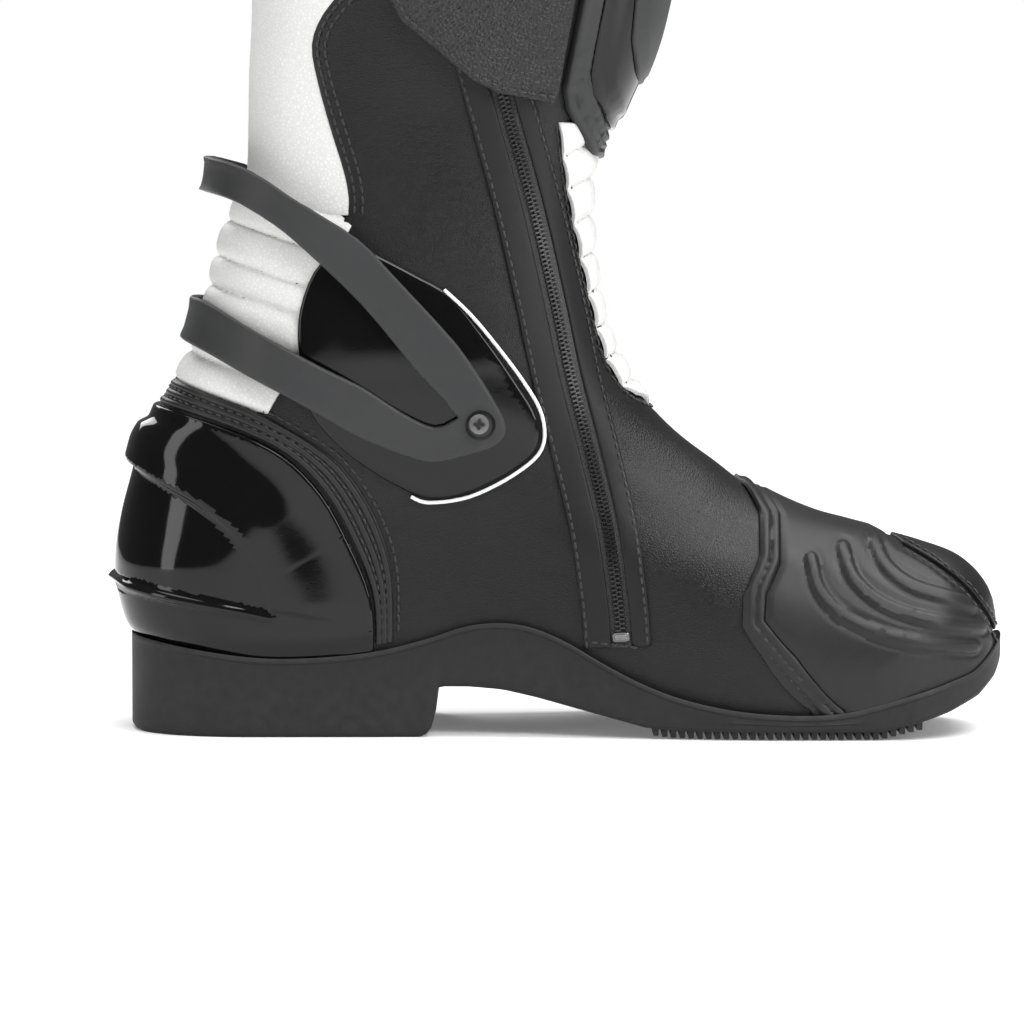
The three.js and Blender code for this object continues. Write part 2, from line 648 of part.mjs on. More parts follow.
add("foot_upper", footTrim(skin(leatherIn, 0)).subtract(accordionClearance), blackLeather);
add("foot_lining", footTrim(skin(liningIn, liningOut)).subtract(accordionClearance), blackTextile);
const stiffener = skin(stiffenerIn, stiffenerOut);
add("toe_puff", stiffener.intersect(boxBetween(puffRear, footLength)).intersect(aboveSole), matteBlack);
add("heel_stiffener", footTrim(stiffener.intersect(prism(stiffenerOutline))), matteBlack);
add("heel_cup", makeHeelCup(), blackGloss);
add("heel_collar_trim", makeCollarTrim(), matteBlack);
add("shift_pad", makePad(), matteBlack);
add("shift_pad_trim", makePadTrim(), matteBlack);
add("toe_cap", makeToeCap(), blackLeather);
add("lateral_white_panel", makeLateralPanel(), whiteLeather);
add("toe_slider", makeToeSlider(), blackGloss);
add("slider_screw_rear", screw(sliderFrames[0], sliderScrewDepth), darkSteel);
add("slider_screw_front", screw(sliderFrames[1], sliderScrewDepth), darkSteel);
const ankleCupClearance = prism(grow(ankleCupOutline, layerGap));
add(
  "rear_accordion",
  skin(leatherIn, accordionRise).intersect(prism(accordionOutline)).subtract(ankleCupClearance),
  whiteLeather,
);
add("instep_gusset", skin(leatherIn, 0).intersect(prism(grow(gussetOutline, -layerGap))), blackLeather);

// ---------------------------------------------------------------- shaft
const shaftBody = prism(shaftZone);
const overTop = prism(aboveTop(0));
const cutShaft = (made) => made.intersect(shaftBody).subtract(overTop);
const whiteClearance = prism(grow(whiteOutline, layerGap));
const frontClearance = prism(grow(frontAccordionOutline, layerGap));

const pivotFrames = { medial: surfaceFrame(pivot, -1, 0), lateral: surfaceFrame(pivot, 1, 0) };
// Both pivot screws lie on the one straight axis through the ankle.
for (const [side, frame] of Object.entries(pivotFrames)) {
  frame.normal = new THREE.Vector3(0, side === "medial" ? -1 : 1, 0);
}
const shifted = (frame, distance) => ({
  point: frame.point.clone().addScaledVector(frame.normal, distance),
  normal: frame.normal,
});
const braceClearance = 0.7; // under the brace at its pivot
const braceHub = cupOut + braceClearance;
const braceReach = 4.2; // further out at the heel end of the arms
const braceInner = (x) => braceHub + braceReach * smoothstep(-x, -50 * lengthGrade, 12 * lengthGrade);
const upperStrapStand = 3.6; // the upper strap stands further off the calf
const lowerStrapTuck = 4.4; // the lower one lies closer to the heel
function braceOffset(extra) {
  return (x, z) => {
    const height = z / heightGrade;
    const rearward = -x / lengthGrade;
    const upper = smoothstep(height, 150, 178) * smoothstep(rearward, -60, 10);
    const lower = (1 - smoothstep(height, 140, 165)) * smoothstep(rearward, 0, 24);
    return braceInner(x) + extra + upperStrapStand * upper - lowerStrapTuck * lower;
  };
}
const headStand = 1.2; // the screw heads stand this far over the brace
const screwSeat = braceHub + braceThickness + headStand;
const holeDepth = 12;
const shankHole = (side, radius) => pin(pivotFrames[side], radius, -holeDepth, pinReach, 12);
function screwPocket(side) {
  return pin(shifted(pivotFrames[side], screwSeat - turningGap), screwHeadRadius + headStand, 0, pinReach);
}

function makeBrace() {
  let brace = skin(braceOffset(0), braceOffset(braceThickness)).intersect(prism(braceOutline));
  for (const side of ["medial", "lateral"]) {
    brace = brace.subtract(shankHole(side, screwShankRadius + turningGap)).subtract(screwPocket(side));
  }
  return brace;
}
// The cup stands off further at its rear, where it swings over the foot's leather.
const cupRearLift = 2;
function cupLift(offset) {
  return (x) => offset + cupRearLift * smoothstep(-x / lengthGrade, -44, -14);
}
function makeAnkleCup(side) {
  const window = side === "medial" ? medialPrism(ankleCupOutline) : lateralPrism(ankleCupOutline);
  return skin(cupLift(overlayIn), cupLift(cupOut)).intersect(window)
    .subtract(shankHole(side, screwShankRadius + turningGap));
}
const edgeBeadWidth = 1.2;
const edgeBeadDrop = 0.4; // the bead is this much lower than the cup's face
function makeCupTrim(side) {
  const outer = prism(grow(ankleCupOutline, layerGap + edgeBeadWidth));
  const inner = prism(grow(ankleCupOutline, layerGap));
  const half = side === "medial" ? medialPrism(edgeTrimWindow) : lateralPrism(edgeTrimWindow);
  return skin(overlayIn, cupOut - edgeBeadDrop).intersect(outer).subtract(inner).intersect(half);
}
function makePivotNut(side) {
  const seat = shifted(pivotFrames[side], stiffenerOut - nutDepth);
  const nut = pin(seat, pivotNutRadius, -pivotNutThickness, 0, 12);
  return nut.subtract(shankHole(side, screwShankRadius + turningGap));
}
const nutPocketDepth = 5.2;
function nutPocket(side) {
  const mouth = pivotFrames[side];
  return pin(mouth, pivotNutRadius + layerGap, -nutPocketDepth, leatherIn, 12);
}

const shaftLiningOut = stiffenerOut;
const shaftLiningIn = shaftLiningOut - liningThickness - stiffenerThickness;
function makeShaftLining() {
  const collarLimit = prism(aboveTop(collarDepth + layerGap));
  let lining = skin(shaftLiningIn, shaftLiningOut).intersect(shaftBody).subtract(collarLimit);
  for (const side of ["medial", "lateral"]) lining = lining.subtract(nutPocket(side));
  return lining;
}
const collarDrop = 0.8; // the padding ends below the leather's top edge
function makeCollar() {
  const above = prism(aboveTop(collarDepth));
  const padding = skin(stiffenerOut - collarThickness, stiffenerOut).intersect(above);
  return padding.subtract(prism(aboveTop(collarDrop)));
}
let shaftLeather = cutShaft(skin(leatherIn, 0))
  .subtract(whiteClearance)
  .subtract(frontClearance)
  .subtract(accordionClearance);
for (const side of ["medial", "lateral"]) {
  shaftLeather = shaftLeather.subtract(shankHole(side, screwShankRadius + turningGap));
}
const plateOut = secondIn + plateThickness;
const insertRise = 2.2; // the insert stands over the plate

add("shaft_leather", shaftLeather, blackLeather);
add("shaft_lining", makeShaftLining(), blackTextile);
add("collar_padding", makeCollar(), blackTextile);
add("rear_white_panel", cutShaft(skin(leatherIn, 0)).intersect(prism(whiteOutline)), whiteLeather);
const stretchSkin = skin(leatherIn, accordionRise);
add("front_accordion", cutShaft(stretchSkin).intersect(prism(frontAccordionOutline)), whiteLeather);
add(
  "shin_plate_trim",
  skin(overlayIn + accordionRise, pipingOut + accordionRise)
    .intersect(prism(plateTrimOutline))
    .subtract(prism(grow(plateOutline, layerGap)))
    .subtract(overTop),
  matteBlack,
);
const plateSkin = skin(secondIn + layerGap, plateOut);
add("shin_plate", plateSkin.intersect(prism(plateOutline)).subtract(overTop), blackGloss);
const insertSkin = skin(plateOut + layerGap, plateOut + insertRise);
add("shin_plate_insert", insertSkin.intersect(prism(plateInsertOutline)), matteBlack);
const screwBite = 3.6; // how far the pivot screws reach in, through leather and nut
for (const side of ["medial", "lateral"]) {
  add("ankle_cup_" + side, makeAnkleCup(side), blackGloss);
  add("ankle_cup_edge_" + side, makeCupTrim(side), whiteEdging);
  add("pivot_nut_" + side, makePivotNut(side), steel);
  add("brace_screw_" + side, screw(shifted(pivotFrames[side], screwSeat), screwSeat + screwBite), darkSteel);
}
add("ankle_brace", makeBrace(), matteBlack);

// ---------------------------------------------------------------- zip on the medial side
const zipPath = smooth([[50.5, 292], [62.5, 245], [71.7, 210.7], [80.7, 177.3], [87.7, 146.6],
  [93.5, 119.6], [100.4, 93.5], [106.3, 68.7], [109.8, 44], [110.8, 30]], 2);
// A strip beside the zip path, from one distance behind it to another in front of it.
function zipStrip(from, to, first = 0, last = zipPath.length - 1) {
  const shift = (distance) =>
    zipPath.slice(first, last + 1).map((point, i, line) => {
      const ahead = line[Math.min(i + 1, line.length - 1)];
      const behind = line[Math.max(i - 1, 0)];
      const along = ahead.clone().sub(behind).normalize();
      return new THREE.Vector2(point.x - along.y * distance, point.y + along.x * distance);
    });
  return [...shift(to), ...shift(from).reverse()];
}
const halfChain = zipChainWidth / 2;
const placketRear = [-halfChain - zipPlacketRearWidth, -halfChain - layerGap];
const placketFront = [halfChain + layerGap, halfChain + zipPlacketFrontWidth];
const lobePrism = prism(lobe(flexRadius - layerGap, 0, 345, 23));
const lobeClearance = prism(lobe(flexRadius + flexGap, 0, 345, 23));
const overPivot = prism(pattern([[-80, 104], [220, 104], [220, 400], [-80, 400]]));
const upperHalf = overPivot.add(lobePrism);
const cupClearance = prism(grow(ankleCupOutline, 2 * layerGap + edgeBeadWidth), -farSide, 0);
const plateTrimClearance = prism(grow(plateTrimOutline, layerGap));

function zipPiece(outline, inner, outer) {
  return skin(inner, outer).intersect(medialPrism(outline)).intersect(aboveSole).subtract(overTop);
}
const onShaft = (made) => made.intersect(upperHalf);
const onFoot = (made) => made.subtract(overPivot).subtract(lobeClearance);
const chainOutline = zipStrip(-halfChain, halfChain);
const overlayPiece = (outline) => zipPiece(outline, overlayIn, overlayOut);
const wholePlacket = zipStrip(placketRear[0], placketFront[1]);
const zipEndHeight = 40; // the facing is closed below this height
const chainEndHeight = 40.6;
const aboveHeight = (z) => prism(pattern([[0, z], [160, z], [160, 400], [0, 400]]));
function makeFootPlacket() {
  const hollow = medialPrism(zipStrip(-halfChain - layerGap, halfChain + layerGap));
  return onFoot(overlayPiece(wholePlacket)).subtract(hollow.intersect(aboveHeight(zipEndHeight)));
}
const rearPlacket = onShaft(overlayPiece(zipStrip(...placketRear)));
const frontPlacket = onShaft(overlayPiece(zipStrip(...placketFront)));
add("zip_placket_rear", rearPlacket.subtract(cupClearance), matteBlack);
add("zip_placket_front", frontPlacket.subtract(plateTrimClearance), matteBlack);
add("zip_placket_foot", makeFootPlacket(), matteBlack);
add("zip_chain_shaft", onShaft(overlayPiece(chainOutline)), zipPlastic);
add("zip_chain_foot", onFoot(overlayPiece(chainOutline)).intersect(aboveHeight(chainEndHeight)), zipPlastic);

// The slider runs on a true circle, so that one hinge with a far centre carries it along the chain.
// The circle meets the chain at both ends and stands a little off it where the ankle is waisted.
const sliderIn = overlayOut + 2 * layerGap;
const zipTop = at(54.2, 279);
const zipMiddle = at(85.6, 156);
const zipBottom = at(110.3, 44);
const zipStandOff = 1.8;
const topFrame = surfaceFrame(zipTop, -1, sliderIn);
const bottomStandOff = 0.5;
const bottomFrame = surfaceFrame(zipBottom, -1, sliderIn + bottomStandOff);
const middleFrame = surfaceFrame(zipMiddle, -1, sliderIn + zipStandOff);

// Centre and axis of the circle through three points.
function circleThrough(a, b, c) {
  const ab = b.clone().sub(a);
  const ac = c.clone().sub(a);
  const axis = ab.clone().cross(ac);
  const toCentre = axis.clone().cross(ab).multiplyScalar(ac.lengthSq())
    .add(ac.clone().cross(axis).multiplyScalar(ab.lengthSq()))
    .divideScalar(2 * axis.lengthSq());
  return { centre: a.clone().add(toCentre), axis: axis.normalize() };
}
const zipCircle = circleThrough(topFrame.point, middleFrame.point, bottomFrame.point);
const fromCentre = (point) => point.clone().sub(zipCircle.centre);
const zipSweep = fromCentre(topFrame.point).angleTo(fromCentre(bottomFrame.point));

// Places a flat plate, drawn with its length along Y and its thickness from Z = 0, on the slider's frame.
function onSlider(geometry) {
  const along = zipCircle.axis.clone().cross(fromCentre(topFrame.point)).normalize();
  const normal = topFrame.normal.clone().addScaledVector(along, -topFrame.normal.dot(along)).normalize();
  const across = along.clone().cross(normal);
  const basis = new THREE.Matrix4().makeBasis(across, along, normal).setPosition(topFrame.point);
  return solid(geometry.applyMatrix4(basis));
}
// A plate with a tapered outline: half-widths at its start and end along Y.
function plate(start, end, halfStart, halfEnd, from, thickness) {
  const outline = [[-halfStart, start], [halfStart, start], [halfEnd, end], [-halfEnd, end]];
  const shape = new THREE.Shape(outline.map(([x, y]) => new THREE.Vector2(x, y)));
  const geometry = new THREE.ExtrudeGeometry(shape, { depth: thickness, bevelEnabled: false });
  return geometry.translate(0, 0, from);
}
const halfSlider = zipSliderLength / 2;
const pullGap = 0.4;
const pullLift = 0.6;
const sliderTaperEnd = 1; // narrower at its lower end, on each side
const pullTaper = 0.8;
const pullHoleRadius = 1;
const pullHoleInset = 3; // from the tab's free end
function makeZipSlider() {
  const half = zipSliderWidth / 2;
  return onSlider(plate(-halfSlider, halfSlider, half - sliderTaperEnd, half, 0, zipSliderHeight));
}
function makeZipPull() {
  const start = halfSlider + pullGap;
  const end = start + zipPullLength;
  const half = zipPullWidth / 2;
  const tab = onSlider(plate(start, end, half - pullTaper, half, pullLift, zipPullThickness));
  const hole = new THREE.CylinderGeometry(pullHoleRadius, pullHoleRadius, zipPullWidth, 12);
  hole.rotateX(Math.PI / 2).translate(0, end - pullHoleInset, 0);
  return tab.subtract(onSlider(hole));
}
const stopLength = 2.4;
const stopThickness = 1;
// A stop is a small clamp across the chain's end.
function makeStop(place) {
  const lift = stopThickness / 2 + seatGap;
  const frame = surfaceFrame(place, -1, overlayOut + 2 * layerGap + lift);
  const geometry = new THREE.BoxGeometry(zipChainWidth - 2 * layerGap, stopThickness, stopLength);
  geometry.applyQuaternion(new THREE.Quaternion().setFromUnitVectors(upAxis, frame.normal));
  return solid(geometry.translate(...frame.point.toArray()));
}
add("zip_slider", makeZipSlider(), darkSteel);
add("zip_pull", makeZipPull(), darkSteel);
add("zip_stop_top", makeStop(at(51, 288.6)), darkSteel);
add("zip_stop_bottom", makeStop(at(110.9, 34)), darkSteel);

// ---------------------------------------------------------------- calf flap over the zip
const flapRoom = 2; // over the zip slider, for its pull tab
const flapIn = sliderIn + zipSliderHeight + flapRoom;
const flapOut = flapIn + flapThickness;
const flapOutline = [
  ...smooth([[34, 252], [34.6, 242], [38.2, 236.2], [48.6, 227.6], [61.3, 217.1], [70, 212.8],
    [82.4, 210.5], [88.6, 209]], 2),
  ...smooth([[90.4, 214], [95.6, 244], [98.6, 275], [100.4, 306]], 2),
  ...smooth([[92, 309], [60, 304], [46, 300], [37, 290], [34, 270]], 2),
];
const patchOutline = pattern([[37, 247], [43.5, 240.5], [47.2, 244], [44, 262], [39.6, 275], [37.2, 270]]);
const flapFront = surfaceFrame(at(91.2, 214), -1, flapOut);
const flapFrontTop = surfaceFrame(at(101, 306), -1, flapOut);

const hookThickness = 0.8;
const hookOut = flapIn - layerGap;
const hookIn = hookOut - hookThickness;
const patchPrism = medialPrism(patchOutline);
add("calf_flap", skin(flapIn, flapOut).intersect(medialPrism(flapOutline)), pebbleLeather);
add("flap_hook_patch", skin(hookIn, hookOut).intersect(patchPrism), blackTextile);
add("flap_loop_patch", skin(overlayIn, hookIn - layerGap).intersect(patchPrism), blackTextile);

// ---------------------------------------------------------------- axes of the moving pieces
const axisOf = (from, to) => to.clone().sub(from).normalize();
boot.userData.axes = {
  ankle: { point: new THREE.Vector3(pivot.x, 0, pivot.y), axis: new THREE.Vector3(0, 1, 0) },
  zip: { point: zipCircle.centre, axis: zipCircle.axis.clone().negate(), sweep: zipSweep },
  flap: { point: flapFront.point, axis: axisOf(flapFrontTop.point, flapFront.point) },
};

export default boot;
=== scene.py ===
# %% [markdown]
# # A motorcycle road boot, seen from its inner side
# The boot stands on its heel and forefoot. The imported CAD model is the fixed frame: it says where every
# piece is and how the ankle, the heel brace, the zip slider and the calf flap move. This file gives the
# frame its looks: leather, moulded covers, piping, stitches, zip teeth, rubber, floor, light and camera.
# Sizes are written in millimetres and turned into metres where a mesh is made.

# %% Load the frame
import math

import bpy
import numpy as np
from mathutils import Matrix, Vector
from mathutils.geometry import delaunay_2d_cdt


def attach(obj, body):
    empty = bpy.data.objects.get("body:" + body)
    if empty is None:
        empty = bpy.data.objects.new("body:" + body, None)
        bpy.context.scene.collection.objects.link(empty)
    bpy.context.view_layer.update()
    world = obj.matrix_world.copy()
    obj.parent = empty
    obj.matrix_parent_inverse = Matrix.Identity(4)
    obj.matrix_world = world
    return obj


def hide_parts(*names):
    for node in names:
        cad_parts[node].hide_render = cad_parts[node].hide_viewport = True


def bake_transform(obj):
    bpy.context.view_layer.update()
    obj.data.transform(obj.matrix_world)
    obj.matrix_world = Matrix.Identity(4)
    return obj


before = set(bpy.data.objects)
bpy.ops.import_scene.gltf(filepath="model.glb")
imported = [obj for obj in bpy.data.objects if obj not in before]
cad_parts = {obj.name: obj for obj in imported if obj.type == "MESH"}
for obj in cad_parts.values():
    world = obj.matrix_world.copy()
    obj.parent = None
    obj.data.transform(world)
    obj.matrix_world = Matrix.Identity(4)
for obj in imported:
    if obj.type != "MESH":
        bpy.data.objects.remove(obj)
bpy.context.view_layer.update()
MM = 0.001

# %% [markdown]
# ## The last: one surface that carries every skin
# A shoemaker builds a boot over a last. Here the last is a formula: two profile lines in side view, the
# front line and the back line, and a half-width at each point between them. The same stations as in the
# CAD model are used, so a piece made here lies exactly on the CAD's leather.

# %% Profile lines and widths
FRONT = [[-10, 236], [20, 236.5], [33, 236.5], [42, 235.5], [48, 233.3], [54, 228.5], [58.5, 222], [62, 212],
         [64.3, 204], [66.5, 195], [68.8, 186], [71.5, 176], [76.5, 164], [83, 152], [90, 142.5], [97, 133.5],
         [105, 124.5], [113, 117.5], [122, 111.5], [134, 106], [149, 102.6], [164, 100.8], [178, 100.2],
         [190, 101], [200, 103.5], [212, 108.5], [228, 115.5], [244, 120], [275, 126], [305, 129], [350, 130]]
BACK = [[-10, -44], [12, -46], [24, -47.5], [30, -49.5], [38, -53.5], [50, -56.4], [60, -56.5], [72, -54.5],
        [85, -51], [96, -48], [108, -44], [119, -37.5], [129, -32], [140, -28.7], [150, -26], [160, -23.8],
        [170, -20.5], [178, -17], [190, -15], [219, -14.4], [244, -13.4], [275, -14.5], [305, -17],
        [350, -20]]
MEDIAL = [[-60, 35.5], [-20, 36.5], [20, 36.5], [55, 36], [90, 38.5], [125, 44], [155, 47], [185, 46],
          [215, 44], [245, 42]]
LATERAL = [[-60, 36], [-20, 37], [20, 38], [55, 39.5], [90, 43], [125, 48], [155, 50], [185, 48],
           [215, 44], [245, 40]]
SHAFT = [[-10, 36], [60, 37.5], [100, 40.4], [118, 41], [130, 41.4], [156, 40.8], [180, 39.6], [210, 39.9],
         [246, 44.6], [279, 51.3], [310, 54.5], [350, 56]]
FOOT_ROUND, HEEL_ROUND = 50, 40
FOOT_POWER, ANKLE_POWER, CALF_POWER = 2.3, 3.0, 2.4
INNER, OUTER = -1, 1  # the two sides: the inner one has the zip


def spline(points, per_span=6):
    """A smooth line through the points."""
    p = np.array(points, float)
    q = np.vstack([p[:1], p, p[-1:]])
    t = np.linspace(0, 1, per_span, endpoint=False)[:, None]
    out = []
    for i in range(len(p) - 1):
        a, b, c, d = q[i], q[i + 1], q[i + 2], q[i + 3]
        v0, v1 = (c - a) / 2, (d - b) / 2
        out.append((2 * b - 2 * c + v0 + v1) * t ** 3 + (3 * c - 3 * b - 2 * v0 - v1) * t ** 2 + v0 * t + b)
    return np.vstack([*out, p[-1:]])


def station(points):
    """A smooth function through (input, value) pairs."""
    line = spline(points, 10)
    return lambda v: np.interp(v, line[:, 0], line[:, 1])


def smoothstep(v, low, high):
    """0 below low, 1 above high, and a smooth step between them."""
    t = np.clip((np.asarray(v, float) - low) / (high - low), 0, 1)
    return t * t * (3 - 2 * t)


front_of, back_of, shaft_half = station(FRONT), station(BACK), station(SHAFT)
side_plan = {INNER: station(MEDIAL), OUTER: station(LATERAL)}
front_line = spline(FRONT, 5)[:, ::-1]


def to_line(points, line, closed=False):
    """Distance of each 2-D point to a line of straight pieces."""
    a = np.asarray(line, float)
    b = np.roll(a, -1, 0) if closed else a[1:]
    a = a if closed else a[:-1]
    best = np.full(len(points), 1e9)
    for start in range(0, len(points), 4000):
        p = points[start:start + 4000, None, :]
        along = b - a
        share = ((p - a) * along).sum(2) / np.maximum((along ** 2).sum(1), 1e-9)
        foot = a + along * np.clip(share, 0, 1)[..., None]
        best[start:start + 4000] = np.sqrt(((p - foot) ** 2).sum(2)).min(1)
    return best


def edge_round(distance, reach, power):
    """How full the section is at that distance from its edge, from 0 to 1."""
    share = np.clip(distance / reach, 0, 1)
    return (1 - (1 - share) ** power) ** (1 / power)


def half_width(x, z, side):
    """Half the last's width on one side, from the sole's plan up to the round calf."""
    rise = smoothstep(z, 55, 118)
    plan = np.where(side > 0, side_plan[OUTER](x), side_plan[INNER](x))
    depth = (front_of(z) - back_of(z)) / 2
    power = FOOT_POWER + (ANKLE_POWER - FOOT_POWER) * rise
    power = power + (CALF_POWER - power) * smoothstep(z, 190, 270)
    near = to_line(np.stack([x, z], 1), front_line)
    front = edge_round(near, FOOT_ROUND + (depth - FOOT_ROUND) * rise, power)
    back = edge_round(x - back_of(z), HEEL_ROUND + (depth - HEEL_ROUND) * rise, power)
    tuck = np.maximum(0, 45 - z) / 45
    return (plan + (shaft_half(z) - plan) * rise) * front * back * (1 - 0.05 * tuck * tuck)


def centre_shift(x):
    """How far the last's middle line is moved sideways towards the toe."""
    return -6 * smoothstep(x, 120, 237)


print("front line:", len(front_line), "points; calf half-width", round(float(shaft_half(300)), 1), "mm")

# %% [markdown]
# ## Unrolling the last
# Leather is cut flat, so each piece is drawn in a flat pattern and then laid on the last. The pattern's
# second number runs up the boot: along the foot, round the heel in a fan of section lines, then up the
# shaft. Its first number runs round the boot, from the front line (or from the back line for pieces that
# wrap the heel). A fan suits a boot because its sections turn from upright at the toe to level at the calf.

# %% Pattern to last, and back
FAN = np.array([175.0, 160.0])  # the fan's centre, in front of the instep
FAN_RADIUS = 125.0
GIRTH = 120.0  # half-way round, near enough everywhere
QUARTER = FAN_RADIUS * math.pi / 2
sole_top = spline([[-70, 32], [-50, 29.3], [-29, 26.8], [-2, 25], [25, 26.8], [44, 31], [61, 36.2],
                   [76, 36.6], [90, 32], [106, 23], [119, 16.6], [133, 11.8], [151, 8.4], [171, 7.3],
                   [187, 8.6], [206, 13.7], [220, 18], [233, 23.3], [246, 35]], 5)


def sole_height(x):
    """Height of the sole's upper edge at x."""
    return np.interp(x, sole_top[:, 0], sole_top[:, 1])


def cross(angle, line):
    """Where the fan's ray at each angle meets a line drawn round it."""
    turn = np.unwrap(np.arctan2(line[:, 1] - FAN[1], line[:, 0] - FAN[0]))
    turn = turn + 2 * math.pi * round((math.pi * 1.25 - turn.mean()) / (2 * math.pi))
    order = np.argsort(turn)
    return np.stack([np.interp(angle, turn[order], line[order, i]) for i in (0, 1)], 1)


heel_line = np.array([[back_of(z), z] for z in np.linspace(165, 31, 60)])
under_line = np.array([[x, sole_height(x) - 3] for x in np.linspace(-48, 180, 120)])
fan_back = np.vstack([heel_line, under_line])
fan_front = np.array([[x, z] for x, z in front_line if 68 < z < 166])


def section(k):
    """The two ends, on the front and back lines, of the section at each height k of the pattern."""
    k = np.asarray(k, float)
    front, back = np.zeros((len(k), 2)), np.zeros((len(k), 2))
    shaft, foot = k > 0, k < -QUARTER
    fan = ~(shaft | foot)
    z = FAN[1] + k[shaft]
    front[shaft] = np.stack([front_of(z), z], 1)
    back[shaft] = np.stack([back_of(z), z], 1)
    x = FAN[0] - QUARTER - k[foot]
    toe = front_line[(front_line[:, 1] < 90) & (front_line[:, 1] > 33.2)]
    toe = toe[np.argsort(toe[:, 0])]
    front[foot] = np.stack([x, np.interp(x, toe[:, 0], toe[:, 1])], 1)
    back[foot] = np.stack([x, sole_height(x) - 3], 1)
    angle = math.pi - k[fan] / FAN_RADIUS
    front[fan] = cross(angle, fan_front)
    back[fan] = cross(angle, fan_back)
    return front, back


def unroll(x, z, side, seam):
    """Side-view points on one side, as points of the flat pattern."""
    x, z = np.asarray(x, float), np.asarray(z, float)
    angle = np.arctan2(z - FAN[1], x - FAN[0]) % (2 * math.pi)
    k = np.where(z >= FAN[1], z - FAN[1], np.where(x >= FAN[0], -QUARTER - (x - FAN[0]),
                                                   (math.pi - angle) * FAN_RADIUS))
    front, back = section(k)
    span = back - front
    share = ((x - front[:, 0]) * span[:, 0] + (z - front[:, 1]) * span[:, 1]) / (span ** 2).sum(1)
    t = np.arccos(1 - 2 * np.clip(share, 0, 1)) / math.pi
    s = side * GIRTH * (t if seam == "front" else 1 - t)
    return np.stack([s, k], 1)


def last_point(s, k, seam):
    """Pattern points laid on the last: the 3-D points in mm."""
    side = np.where(s >= 0, OUTER, INNER)
    t = np.clip(np.abs(s) / GIRTH, 0, 1)
    t = t if seam == "front" else 1 - t
    front, back = section(k)
    p = front + (back - front) * ((1 - np.cos(math.pi * t)) / 2)[:, None]
    width = half_width(p[:, 0], p[:, 1], side)
    width = np.where((t < 1e-6), 0, width)
    return np.stack([p[:, 0], side * width + centre_shift(p[:, 0]), p[:, 1]], 1)


def last_frame(pattern, seam):
    """Place and outward normal on the last for points of the flat pattern."""
    s, k = pattern[:, 0], pattern[:, 1]
    step = 0.8
    place = last_point(s, k, seam)
    around = last_point(s + step, k, seam) - last_point(s - step, k, seam)
    up = last_point(s, k + step, seam) - last_point(s, k - step, seam)
    normal = np.cross(around, up)
    normal /= np.maximum(np.linalg.norm(normal, axis=1), 1e-9)[:, None]
    centre = np.array([40.0, 0, 110.0])
    if seam == "back":
        normal = -normal
    length = np.linalg.norm(normal, axis=1)
    normal[length < 0.5] = (place - centre)[length < 0.5]
    return place, normal / np.linalg.norm(normal, axis=1)[:, None]


test_place, test_normal = last_frame(unroll([60.0, 150.0, 60.0], [140.0, 50.0, 240.0], INNER, "front"),
                                     "front")
print("on the last:", np.round(test_place, 1).tolist(), "normals", np.round(test_normal, 2).tolist())

# %% [markdown]
# ## Sheets cut from the pattern
# A sheet of leather or a moulded cover is an outline in the flat pattern. The outline is filled with
# triangles by a constrained Delaunay fill, a few rows of points are set close to the edge, and the edge is
# rolled down over them, so light catches it as it does on a real cut or moulded edge. A second copy of the
# fill, lower down, and a wall round the outline close the body.

# %% Fill an outline and lay it on the last
MATERIALS = {}
MADE = []


def new_object(name, vertices, faces, material, smooth_angle=40):
    """A mesh given in millimetres, smooth apart from its sharp edges, with its finish."""
    mesh = bpy.data.meshes.new(name)
    mesh.from_pydata([tuple(v) for v in np.asarray(vertices) * MM], [],
                     [tuple(int(i) for i in f) for f in faces])
    mesh.validate()
    mesh.polygons.foreach_set("use_smooth", [True] * len(mesh.polygons))
    mesh.set_sharp_from_angle(angle=math.radians(smooth_angle))
    mesh.materials.append(MATERIALS[material])
    piece = bpy.data.objects.new(name, mesh)
    bpy.context.scene.collection.objects.link(piece)
    MADE.append(name)
    return piece


def inside(points, loop):
    """Which points lie inside a closed loop."""
    x, y = points[:, 0], points[:, 1]
    a, b = np.asarray(loop), np.roll(loop, -1, 0)
    hit = np.zeros(len(points), bool)
    for (x0, y0), (x1, y1) in zip(a, b):
        if y0 == y1:
            continue
        crosses = (y0 > y) != (y1 > y)
        hit ^= crosses & (x < (x1 - x0) * (y - y0) / (y1 - y0) + x0)
    return hit


def resample(line, step, closed=False):
    """The line with evenly spaced points that keep its corners."""
    p = np.asarray(line, float)
    if closed:
        p = np.vstack([p, p[:1]])
    out = []
    for a, b in zip(p[:-1], p[1:]):
        n = max(1, int(round(np.linalg.norm(b - a) / step)))
        out += [a + (b - a) * i / n for i in range(n)]
    if not closed:
        out.append(p[-1])
    return np.array(out)


def along(line):
    """Unit direction at each point of a line."""
    d = np.gradient(line, axis=0)
    return d / np.maximum(np.linalg.norm(d, axis=1), 1e-9)[:, None]


